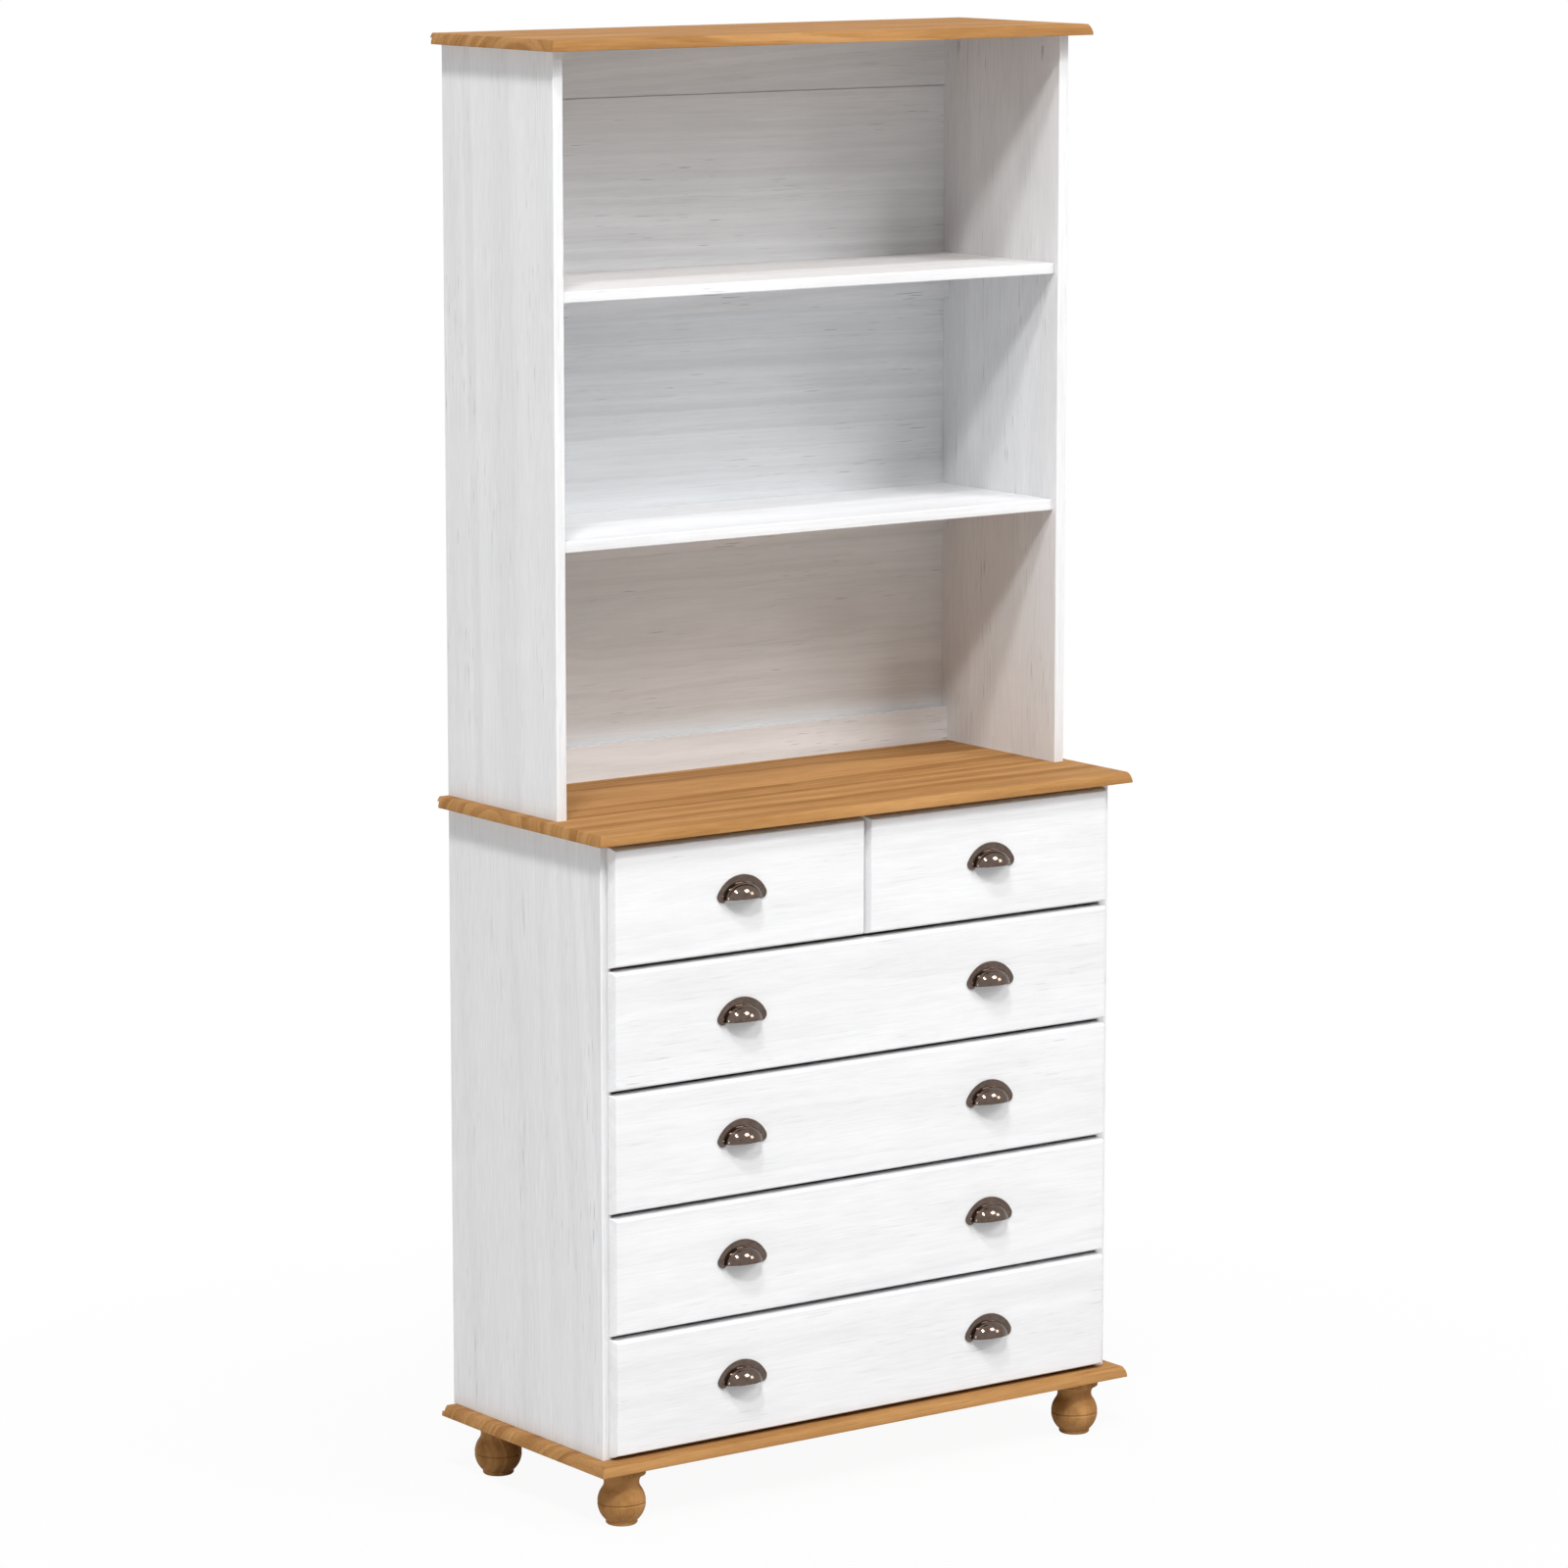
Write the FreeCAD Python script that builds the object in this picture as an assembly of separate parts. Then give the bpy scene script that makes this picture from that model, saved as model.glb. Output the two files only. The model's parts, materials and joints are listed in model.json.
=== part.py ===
import FreeCAD, Part
import math
import os
from FreeCAD import Vector

# Buffet and hutch in millimetres. The origin is on the floor, under the middle of the whole piece.
# +Z is up, the drawers open towards -Y, and +X is the viewer's right.

# Carcass
CARCASS_WIDTH = 860.0
SIDE_BOARD = 16.0
BUFFET_DEPTH = 367.0
BUFFET_HEIGHT = 840.0
HUTCH_DEPTH = 266.0
HUTCH_HEIGHT = 1019.0
EDGE_EASE = 1.5

# Honey boards: base, worktop and hutch top, and the cutter that moulds them and the drawer fronts
MOULDED_BOARD = 15.0
SIDE_OVERHANG = 20.0
FRONT_OVERHANG = 30.0
MOULDING_RADIUS = 24.0

# Back panels, let into rabbets along the rear edges
BACK_PANEL = 4.0
BACK_RABBET = 4.5
BACK_LAP = 8.5
BACK_LAP_CLEARANCE = 0.5

# Hutch fittings
SHELF_BOARD = 15.0
SHELF_SETBACK = 8.0
SHELF_BAY = 316.0
RAIL_HEIGHT = 49.0
RAIL_THICKNESS = 13.0

# Turned feet, measured up from the floor
FOOT_PAD_RADIUS = 21.5
FOOT_PAD_HEIGHT = 5.2
FOOT_PAD_CHAMFER = 1.5
FOOT_BALL_RADIUS = 32.8
FOOT_SHOULDER_RISE = 19.0
FOOT_WAIST_RISE = 8.0
FOOT_NECK_RADIUS = 24.0
FOOT_COVE_RADIUS = 13.0
FOOT_COVE_TOP_RADIUS = 32.0
FOOT_FLANGE_RADIUS = 33.0
FOOT_FLANGE_HEIGHT = 11.0
FOOT_GROOVE = 1.0
FOOT_SIDE_INSET = 60.0
FOOT_FRONT_INSET = 45.0
FOOT_REAR_INSET = 50.0
BOLT_RADIUS = 4.0
BOLT_IN_FOOT = 30.0
BOLT_COVER = 4.0
BOLT_POINT = 1.0

# Drawer fronts
DRAWER_ROWS = 5
FRONT_REVEAL = 10.5
FRONT_GAP = 4.6
FRONT_BOTTOM_CLEARANCE = 3.3
FRONT_TOP_CLEARANCE = 6.3
LIP_PROJECTION = 14.0
LIP_SEAT_GAP = 0.3
TONGUE_DEPTH = 6.0
TONGUE_CLEARANCE = 1.0

# Drawer boxes
BOX_BOARD = 12.0
BOX_RISE = 14.0
BOX_TOP_DROP = 22.0
BOX_REAR_CLEARANCE = 15.0
BOX_BACK_INSET = 6.0
BOX_BACK_DADO = 3.0
SIDE_HOUSING = 6.0
BOTTOM_PANEL = 4.0
BOTTOM_GROOVE = 5.0
BOTTOM_RISE = 8.0

# Runners, partition and the rails that carry it
RUNNER_WIDTH = 9.0
RUNNER_HEIGHT = 16.0
RUNNER_RISE = 50.0
RUNNER_SETBACK = 25.0
RUNNER_REAR_GAP = 10.0
RUNNER_GROOVE = 5.0
RUNNER_SEAT_GAP = 0.3
RUNNER_CLEARANCE = 0.5
GROOVE_END_GAP = 4.0
PARTITION_RAIL_THICKNESS = 16.0
PARTITION_RAIL_DEPTH = 60.0
PARTITION_RAIL_SETBACK = 40.0
PARTITION_RAIL_RISE = 2.0

# Cup pulls, measured from the level of their screw holes
PULL_HOLE_SPACING = 64.0
PULL_DROP = 2.0
PULL_EAR_RADIUS = 8.2
PULL_FLANGE_RISE = 27.5
PULL_FLANGE_THICKNESS = 2.0
PULL_CUP_RADIUS = 20.0
PULL_HEAD_GAP = 0.2
PULL_WALL = 1.8
PULL_LIP_DROP = 5.0
PULL_LIP_TILT = 4.5

# Screws and dowels
SCREW_SHANK_RADIUS = 1.75
SCREW_HEAD_RADIUS = 3.2
SCREW_HEAD_HEIGHT = 2.4
PULL_SCREW_SHANK_RADIUS = 1.5
PULL_SCREW_HEAD_RADIUS = 2.3
PULL_SCREW_HEAD_HEIGHT = 2.0
PULL_SCREW_BITE = 13.0
RUNNER_SCREW_INSET = 40.0
RUNNER_SCREW_RECESS = 0.5
OPPOSED_SCREW_GAP = 2.0
POCKET_RADIUS = 3.5
POCKET_TILT = 15.0
POCKET_INSET = 38.0
POCKET_SEAT_DEPTH = 13.0
POCKET_SCREW_COVER = 4.0
DOWEL_RADIUS = 4.0
DOWEL_IN_END = 20.0
DOWEL_COVER = 6.0
OPPOSED_DOWEL_GAP = 2.0
DOWEL_INSET = 45.0
FIT_CLEARANCE = 0.1

# Places worked out from the sizes above
INNER_HALF = CARCASS_WIDTH / 2 - SIDE_BOARD
OUTER_HALF = CARCASS_WIDTH / 2
PULL_PROJECTION = PULL_FLANGE_THICKNESS + PULL_CUP_RADIUS
PULL_CUP_HALF = PULL_HOLE_SPACING / 2 - PULL_SCREW_HEAD_RADIUS - PULL_HEAD_GAP
TOTAL_DEPTH = BUFFET_DEPTH + max(FRONT_OVERHANG, LIP_PROJECTION + PULL_PROJECTION)
REAR = TOTAL_DEPTH / 2
BACK_FACE = REAR - BACK_RABBET
BUFFET_FRONT = REAR - BUFFET_DEPTH
HUTCH_FRONT = REAR - HUTCH_DEPTH

FOOT_BALL_CENTRE = FOOT_PAD_HEIGHT + math.sqrt(FOOT_BALL_RADIUS**2 - FOOT_PAD_RADIUS**2)
FOOT_SHOULDER = FOOT_BALL_CENTRE + FOOT_SHOULDER_RISE
FOOT_WAIST = FOOT_SHOULDER + FOOT_WAIST_RISE
COVE_CENTRE_RADIUS = FOOT_NECK_RADIUS + FOOT_COVE_RADIUS
FOOT_FLANGE = FOOT_WAIST + math.sqrt(FOOT_COVE_RADIUS**2 - (COVE_CENTRE_RADIUS - FOOT_COVE_TOP_RADIUS) ** 2)
FOOT_HEIGHT = FOOT_FLANGE + FOOT_FLANGE_HEIGHT

BASE_TOP = FOOT_HEIGHT + MOULDED_BOARD
WORKTOP_UNDERSIDE = BASE_TOP + BUFFET_HEIGHT
WORKTOP_TOP = WORKTOP_UNDERSIDE + MOULDED_BOARD
HUTCH_TOP_UNDERSIDE = WORKTOP_TOP + HUTCH_HEIGHT
UPPER_SHELF_TOP = HUTCH_TOP_UNDERSIDE - SHELF_BAY
LOWER_SHELF_TOP = UPPER_SHELF_TOP - SHELF_BOARD - SHELF_BAY

ROW_SPACE = BUFFET_HEIGHT - FRONT_BOTTOM_CLEARANCE - FRONT_TOP_CLEARANCE
FRONT_HEIGHT = (ROW_SPACE - (DRAWER_ROWS - 1) * FRONT_GAP) / DRAWER_ROWS
TOP_ROW = BASE_TOP + FRONT_BOTTOM_CLEARANCE + (DRAWER_ROWS - 1) * (FRONT_HEIGHT + FRONT_GAP)
FRONT_HALF = OUTER_HALF - FRONT_REVEAL
FRONT_FACE = BUFFET_FRONT - LIP_PROJECTION
LIP_BACK = BUFFET_FRONT - LIP_SEAT_GAP
TONGUE_BACK = BUFFET_FRONT + TONGUE_DEPTH
PARTITION_HALF = SIDE_BOARD / 2
PULL_OFFSET = (FRONT_HALF + FRONT_GAP / 2) / 2
BOX_SIDE_GAP = RUNNER_WIDTH - RUNNER_GROOVE + RUNNER_CLEARANCE
RUNNER_FRONT = BUFFET_FRONT + RUNNER_SETBACK
RUNNER_REAR = BACK_FACE - RUNNER_REAR_GAP
PARTITION_BOTTOM = TOP_ROW + PARTITION_RAIL_RISE
UP = Vector(0, 0, 1)
# How far a cutting block runs past the wood that it leaves
OVERCUT = 1.0
# Turns a cup's poles away from its front, to where the finished cup is cut off
POLE_TURN = 225.0


# Shared shapes

def box(x, y, z):
    """A block between the low and high values of each axis."""
    return Part.makeBox(x[1] - x[0], y[1] - y[0], z[1] - z[0], Vector(x[0], y[0], z[0]))


def line(start, end):
    return Part.LineSegment(start, end).toShape()


def arc(start, middle, end):
    return Part.Arc(start, middle, end).toShape()


def prism(edges, sweep):
    """A solid swept from a flat closed outline."""
    return Part.Face(Part.Wire(edges)).extrude(sweep)


def turned(outline):
    """A solid turned about Z from edges in the XZ plane."""
    return Part.Face(Part.Wire(outline)).revolve(Vector(0, 0, 0), UP, 360)


def turned_points(points):
    """A solid turned about Z from (radius, height) corners."""
    corners = [Vector(radius, 0, height) for radius, height in points]
    closed = corners + corners[:1]
    return turned([line(a, b) for a, b in zip(closed, closed[1:])])


def aimed(shape, place, direction):
    """A copy of a shape made along +Z, moved to a place and aimed along a direction."""
    copy = shape.copy()
    copy.Placement = FreeCAD.Placement(place, FreeCAD.Rotation(UP, direction))
    return copy


def drilled(shape, bores):
    """The shape with every bore that reaches it cut out."""
    reaching = [bore for bore in bores if bore.BoundBox.intersect(shape.BoundBox)]
    if reaching:
        shape = shape.cut(reaching)
    return shape.Solids[0]


def joined(shapes):
    return shapes[0].fuse(shapes[1:]).removeSplitter().Solids[0]


# Boards

def moulded_outline(low, high, thickness, place, high_moulded=True):
    """Section of a board whose edges lean in along one cutter's arc, from the full size at height 0."""
    angle = math.asin(thickness / MOULDING_RADIUS)
    inset = MOULDING_RADIUS * (1 - math.cos(angle))
    belly = MOULDING_RADIUS * (1 - math.cos(angle / 2))
    belly_height = MOULDING_RADIUS * math.sin(angle / 2)
    low_foot = place(low, 0)
    low_top = place(low + inset, thickness)
    high_foot = place(high, 0)
    high_top = place(high - inset, thickness) if high_moulded else place(high, thickness)
    high_edge = line(high_foot, high_top)
    if high_moulded:
        high_edge = arc(high_foot, place(high - belly, belly_height), high_top)
    return [
        line(low_foot, high_foot),
        high_edge,
        line(high_top, low_top),
        arc(low_top, place(low + belly, belly_height), low_foot),
    ]


def honey_board(depth, underside):
    """A base, worktop or top: moulded along the front and both ends, square along the rear."""
    half = OUTER_HALF + SIDE_OVERHANG
    front = REAR - depth - FRONT_OVERHANG
    across = moulded_outline(-half, half, MOULDED_BOARD, lambda x, h: Vector(x, front, underside + h))
    along = moulded_outline(front, REAR, MOULDED_BOARD, lambda y, h: Vector(-half, y, underside + h), False)
    lengthwise = prism(across, Vector(0, REAR - front, 0))
    crosswise = prism(along, Vector(2 * half, 0, 0))
    return lengthwise.common(crosswise).Solids[0]


def rear_rabbet(underside):
    """The step along the whole rear edge of a honey board that takes a back panel's end."""
    half = OUTER_HALF + SIDE_OVERHANG + OVERCUT
    return box((-half, half), (BACK_FACE, REAR + OVERCUT), (underside, underside + BACK_LAP))


def eased_outline(low, high, front, rear, place):
    """A rectangular section with its two front corners rounded."""
    ease = EDGE_EASE
    bulge = ease * (1 - math.sqrt(0.5))
    return [
        line(place(high, rear), place(low, rear)),
        line(place(low, rear), place(low, front + ease)),
        arc(place(low, front + ease), place(low + bulge, front + bulge), place(low + ease, front)),
        line(place(low + ease, front), place(high - ease, front)),
        arc(place(high - ease, front), place(high - bulge, front + bulge), place(high, front + ease)),
        line(place(high, front + ease), place(high, rear)),
    ]


def upright(side, front, bottom, top):
    """A side board, rabbeted along its inner rear corner. side is -1 on the left and 1 on the right."""
    low, high = sorted((side * INNER_HALF, side * OUTER_HALF))
    outline = eased_outline(low, high, front, REAR, lambda x, y: Vector(x, y, bottom))
    board = prism(outline, Vector(0, 0, top - bottom))
    rabbet_x = sorted((side * (INNER_HALF - OVERCUT), side * (INNER_HALF + BACK_LAP)))
    return board.cut(box(rabbet_x, (BACK_FACE, REAR + OVERCUT), (bottom - OVERCUT, top + OVERCUT)))


def back_panel(bottom, top):
    half = INNER_HALF + BACK_LAP - BACK_LAP_CLEARANCE
    return box((-half, half), (BACK_FACE, BACK_FACE + BACK_PANEL), (bottom, top))


def shelf(top):
    outline = eased_outline(
        top - SHELF_BOARD, top, HUTCH_FRONT + SHELF_SETBACK, BACK_FACE,
        lambda z, y: Vector(-INNER_HALF, y, z))
    return prism(outline, Vector(2 * INNER_HALF, 0, 0))


def back_rail(bottom):
    y = (BACK_FACE - RAIL_THICKNESS, BACK_FACE)
    return box((-INNER_HALF, INNER_HALF), y, (bottom, bottom + RAIL_HEIGHT))


# Fasteners, each made along +Z from its head to its point

def dowel_set(places, clearance=0.0):
    """Dowels, or with a clearance their bores, at the places that dowel_places lists."""
    radius = DOWEL_RADIUS + clearance
    rods = []
    for joint, direction, face_depth in places:
        start = joint - direction * (face_depth + clearance)
        length = face_depth + DOWEL_IN_END + 2 * clearance
        rods.append(Part.makeCylinder(radius, length, start, direction))
    return rods


def countersunk_screw(length, clearance=0.0):
    shank = SCREW_SHANK_RADIUS + clearance
    head = SCREW_HEAD_RADIUS + clearance
    tip = length + clearance
    return turned_points([(0, 0), (head, 0), (shank, SCREW_HEAD_HEIGHT), (shank, tip), (0, tip)])


def flat_head_screw(length):
    return turned_points([
        (0, -SCREW_HEAD_HEIGHT), (SCREW_HEAD_RADIUS, -SCREW_HEAD_HEIGHT), (SCREW_HEAD_RADIUS, 0),
        (SCREW_SHANK_RADIUS, 0), (SCREW_SHANK_RADIUS, length), (0, length)])


def round_head_screw(length):
    """A pull's screw, whose domed head is one arc from rim to crown."""
    head = PULL_SCREW_HEAD_RADIUS
    height = PULL_SCREW_HEAD_HEIGHT
    shank = PULL_SCREW_SHANK_RADIUS
    dome = (head**2 + height**2) / (2 * height)
    half = math.asin(head / dome) / 2
    crown = Vector(0, 0, -height)
    cheek = Vector(dome * math.sin(half), 0, dome * (1 - math.cos(half)) - height)
    rim = Vector(head, 0, 0)
    neck = Vector(shank, 0, 0)
    tip_edge = Vector(shank, 0, length)
    tip = Vector(0, 0, length)
    return turned([
        arc(crown, cheek, rim), line(rim, neck), line(neck, tip_edge), line(tip_edge, tip), line(tip, crown)])


def hanger_bolt(clearance=0.0):
    """A headless bolt from inside a foot to inside the base board, standing on its lower end."""
    radius = BOLT_RADIUS + clearance
    length = BOLT_IN_FOOT + MOULDED_BOARD - BOLT_COVER + clearance
    point = radius - BOLT_POINT
    return turned_points([
        (0, -clearance), (point, -clearance), (radius, BOLT_POINT - clearance), (radius, length - BOLT_POINT),
        (point, length), (0, length)])


# Feet

def ball_radius(height):
    return math.sqrt(FOOT_BALL_RADIUS**2 - (height - FOOT_BALL_CENTRE) ** 2)


def cove_radius(height):
    return COVE_CENTRE_RADIUS - math.sqrt(FOOT_COVE_RADIUS**2 - (height - FOOT_WAIST) ** 2)


def bun_foot():
    """A turned foot: pad, ball with a scribed equator, waist cove and top flange."""
    def at(radius, height):
        return Vector(radius, 0, height)

    def ball_arc(low, high):
        middle = (low + high) / 2
        return arc(at(ball_radius(low), low), at(ball_radius(middle), middle), at(ball_radius(high), high))

    equator = FOOT_BALL_CENTRE
    under_groove = equator - FOOT_GROOVE
    over_groove = equator + FOOT_GROOVE
    cove_foot = FOOT_SHOULDER + FOOT_GROOVE
    pad_edge = at(FOOT_PAD_RADIUS - FOOT_PAD_CHAMFER, 0)
    pad_side = at(FOOT_PAD_RADIUS, FOOT_PAD_CHAMFER)
    ball_foot = at(ball_radius(FOOT_PAD_HEIGHT), FOOT_PAD_HEIGHT)
    groove = at(FOOT_BALL_RADIUS - FOOT_GROOVE, equator)
    cove_start = at(cove_radius(cove_foot), cove_foot)
    waist = at(FOOT_NECK_RADIUS, FOOT_WAIST)
    cove_end = at(FOOT_COVE_TOP_RADIUS, FOOT_FLANGE)
    flange_low = at(FOOT_FLANGE_RADIUS, FOOT_FLANGE)
    flange_high = at(FOOT_FLANGE_RADIUS, FOOT_HEIGHT)
    return turned([
        line(at(0, 0), pad_edge),
        line(pad_edge, pad_side),
        line(pad_side, ball_foot),
        ball_arc(FOOT_PAD_HEIGHT, under_groove),
        line(at(ball_radius(under_groove), under_groove), groove),
        line(groove, at(ball_radius(over_groove), over_groove)),
        ball_arc(over_groove, FOOT_SHOULDER),
        line(at(ball_radius(FOOT_SHOULDER), FOOT_SHOULDER), cove_start),
        arc(cove_start, waist, cove_end),
        line(cove_end, flange_low),
        line(flange_low, flange_high),
        line(flange_high, at(0, FOOT_HEIGHT)),
        line(at(0, FOOT_HEIGHT), at(0, 0)),
    ])


# Cup pulls

def spheroid(half_width, radius):
    """A ball stretched along X, with its middle in the front plane of the flange."""
    stretch = FreeCAD.Matrix()
    stretch.scale(Vector(half_width / radius, 1, 1))
    solid = Part.makeSphere(radius).transformGeometry(stretch)
    solid.rotate(Vector(0, 0, 0), Vector(1, 0, 0), POLE_TURN)
    solid.translate(Vector(0, 0, PULL_FLANGE_THICKNESS))
    return solid


def cup_pull():
    """A cup pull with its screw holes' level at Z 0 and its back against the plane Y 0."""
    hole_x = PULL_HOLE_SPACING / 2
    ear, rise = PULL_EAR_RADIUS, PULL_FLANGE_RISE
    # The flange's arch is one arc that runs into both ears without a corner.
    arch_radius = (hole_x**2 + rise**2 - ear**2) / (2 * (rise - ear))
    reach_out = arch_radius / (arch_radius - ear)
    meet_x, meet_z = hole_x * reach_out, (arch_radius - rise) * (reach_out - 1)
    meet_left, meet_right = Vector(-meet_x, meet_z, 0), Vector(meet_x, meet_z, 0)
    foot_left, foot_right = Vector(ear - hole_x, 0, 0), Vector(hole_x - ear, 0, 0)
    plate = prism([
        arc(meet_right, Vector(0, rise, 0), meet_left),
        arc(meet_left, Vector(-hole_x, -ear, 0), foot_left),
        line(foot_left, foot_right),
        arc(foot_right, Vector(hole_x, -ear, 0), meet_right),
    ], Vector(0, 0, PULL_FLANGE_THICKNESS))
    hole_radius = PULL_SCREW_SHANK_RADIUS + FIT_CLEARANCE
    holes = [
        Part.makeCylinder(hole_radius, PULL_FLANGE_THICKNESS, Vector(x, 0, 0)) for x in (-hole_x, hole_x)
    ]

    reach = PULL_PROJECTION + OVERCUT
    lip_front = reach * math.tan(math.radians(PULL_LIP_TILT)) - PULL_LIP_DROP
    corners = [
        Vector(-PULL_CUP_HALF, -PULL_LIP_DROP, 0), Vector(-PULL_CUP_HALF, lip_front, reach),
        Vector(-PULL_CUP_HALF, PULL_FLANGE_RISE, reach), Vector(-PULL_CUP_HALF, PULL_FLANGE_RISE, 0),
    ]
    lip_cut = [line(a, b) for a, b in zip(corners, corners[1:] + corners[:1])]
    above_lip = prism(lip_cut, Vector(2 * PULL_CUP_HALF, 0, 0))
    hollow = spheroid(PULL_CUP_HALF - PULL_WALL, PULL_CUP_RADIUS - PULL_WALL)
    cup = spheroid(PULL_CUP_HALF, PULL_CUP_RADIUS).common(above_lip).cut(hollow)
    flange = plate.cut([hollow] + holes)
    pull = joined([flange, cup])
    pull.rotate(Vector(0, 0, 0), Vector(1, 0, 0), 90)
    return pull


# Drawers

def drawer(name, opening, front, row_bottom, pull_places):
    """One drawer's nodes. opening and front are (low, high) in X, pull_places are X values."""
    row_top = row_bottom + FRONT_HEIGHT
    middle = (row_bottom + row_top) / 2
    box_x = (opening[0] + BOX_SIDE_GAP, opening[1] - BOX_SIDE_GAP)
    inner_x = (box_x[0] + BOX_BOARD, box_x[1] - BOX_BOARD)
    box_z = (row_bottom + BOX_RISE, row_top - BOX_TOP_DROP)
    box_rear = BACK_FACE - BOX_REAR_CLEARANCE
    back_y = (box_rear - BOX_BACK_INSET - BOX_BOARD, box_rear - BOX_BACK_INSET)
    bottom_z = (box_z[0] + BOTTOM_RISE, box_z[0] + BOTTOM_RISE + BOTTOM_PANEL)
    fit = FIT_CLEARANCE

    hole_z = middle - PULL_DROP
    pull_blank = cup_pull()
    screw_blank = round_head_screw(PULL_FLANGE_THICKNESS + PULL_SCREW_BITE)
    bore_radius = PULL_SCREW_SHANK_RADIUS + fit
    pulls = []
    pull_screws = []
    front_cuts = []
    for pull_x in pull_places:
        pulls.append(pull_blank.translated(Vector(pull_x, FRONT_FACE, hole_z)))
        for hole_x in (pull_x - PULL_HOLE_SPACING / 2, pull_x + PULL_HOLE_SPACING / 2):
            head_seat = Vector(hole_x, FRONT_FACE - PULL_FLANGE_THICKNESS, hole_z)
            pull_screws.append(aimed(screw_blank, head_seat, Vector(0, 1, 0)))
            mouth = Vector(hole_x, FRONT_FACE, hole_z)
            front_cuts.append(Part.makeCylinder(bore_radius, PULL_SCREW_BITE + fit, mouth, Vector(0, 1, 0)))

    # The front is a moulded lip with a narrower tongue behind it that enters the opening.
    lip_thickness = LIP_BACK - FRONT_FACE
    across = moulded_outline(
        front[0], front[1], lip_thickness, lambda x, h: Vector(x, LIP_BACK - h, row_bottom))
    upward = moulded_outline(
        row_bottom, row_top, lip_thickness, lambda z, h: Vector(front[0], LIP_BACK - h, z))
    lip = prism(across, Vector(0, 0, FRONT_HEIGHT)).common(prism(upward, Vector(front[1] - front[0], 0, 0)))
    tongue_x = (opening[0] + TONGUE_CLEARANCE, opening[1] - TONGUE_CLEARANCE)
    tongue = box(tongue_x, (LIP_BACK, TONGUE_BACK), (row_bottom, row_top))
    side_x = [(box_x[0], inner_x[0]), (inner_x[1], box_x[1])]
    side_y = (TONGUE_BACK - SIDE_HOUSING, box_rear)
    housing_y = (side_y[0], TONGUE_BACK + OVERCUT)
    housing_z = (box_z[0] - fit, box_z[1] + fit)
    for low, high in side_x:
        front_cuts.append(box((low - fit, high + fit), housing_y, housing_z))
    groove_x = (inner_x[0] - BOTTOM_GROOVE, inner_x[1] + BOTTOM_GROOVE)
    groove_z = (bottom_z[0] - fit, bottom_z[1] + fit)
    front_cuts.append(box(groove_x, (TONGUE_BACK - BOTTOM_GROOVE, TONGUE_BACK + OVERCUT), groove_z))
    front_board = drilled(joined([lip, tongue]), front_cuts)

    # Each side has a runner groove outside, open at the rear, and grooves inside for the bottom and the back.
    runner_z = (box_z[0] + RUNNER_RISE, box_z[0] + RUNNER_RISE + RUNNER_HEIGHT)
    slot_y = (RUNNER_FRONT - GROOVE_END_GAP, box_rear + OVERCUT)
    slot_z = (runner_z[0] - RUNNER_CLEARANCE, runner_z[1] + RUNNER_SEAT_GAP)
    dado_x = (inner_x[0] - BOX_BACK_DADO, inner_x[1] + BOX_BACK_DADO)
    inner_cuts = [
        box(groove_x, (side_y[0] - OVERCUT, box_rear + OVERCUT), groove_z),
        box(dado_x, (back_y[0] - fit, back_y[1] + fit), (bottom_z[0], box_z[1] + OVERCUT)),
    ]
    slot_cuts = [
        box((box_x[0] - OVERCUT, box_x[0] + RUNNER_GROOVE), slot_y, slot_z),
        box((box_x[1] - RUNNER_GROOVE, box_x[1] + OVERCUT), slot_y, slot_z),
    ]
    sides = [box(x, side_y, box_z).cut(inner_cuts + slot_cuts).Solids[0] for x in side_x]

    back = box((dado_x[0] + fit, dado_x[1] - fit), back_y, (bottom_z[1], box_z[1]))
    bottom_y = (TONGUE_BACK - BOTTOM_GROOVE + fit, back_y[1])
    bottom = box((groove_x[0] + fit, groove_x[1] - fit), bottom_y, bottom_z)
    return {
        name + "_front": [front_board],
        name + "_sides": sides,
        name + "_back": [back],
        name + "_bottom": [bottom],
        name + "_pulls": pulls,
        name + "_pull_screws": pull_screws,
    }


def row_bottom(row):
    """Lower edge of a row's fronts. Row 0 is the lowest."""
    return BASE_TOP + FRONT_BOTTOM_CLEARANCE + row * (FRONT_HEIGHT + FRONT_GAP)


def drawers():
    top = DRAWER_ROWS - 1
    nodes = {}
    left_opening = (-INNER_HALF, -PARTITION_HALF)
    left_front = (-FRONT_HALF, -FRONT_GAP / 2)
    nodes.update(drawer("top_left_drawer", left_opening, left_front, row_bottom(top), [-PULL_OFFSET]))
    right_opening = (PARTITION_HALF, INNER_HALF)
    right_front = (FRONT_GAP / 2, FRONT_HALF)
    nodes.update(drawer("top_right_drawer", right_opening, right_front, row_bottom(top), [PULL_OFFSET]))
    wide = ["second_drawer", "third_drawer", "fourth_drawer", "bottom_drawer"]
    for step, name in enumerate(wide, start=1):
        nodes.update(drawer(
            name, (-INNER_HALF, INNER_HALF), (-FRONT_HALF, FRONT_HALF), row_bottom(top - step),
            [-PULL_OFFSET, PULL_OFFSET]))
    return nodes


# Runners and what carries them

def runner_places():
    """(face X, direction away from the face, row) of every runner."""
    places = []
    for row in range(DRAWER_ROWS):
        places.append((-INNER_HALF, 1, row))
        places.append((INNER_HALF, -1, row))
    places.append((-PARTITION_HALF, -1, DRAWER_ROWS - 1))
    places.append((PARTITION_HALF, 1, DRAWER_ROWS - 1))
    return places


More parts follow.
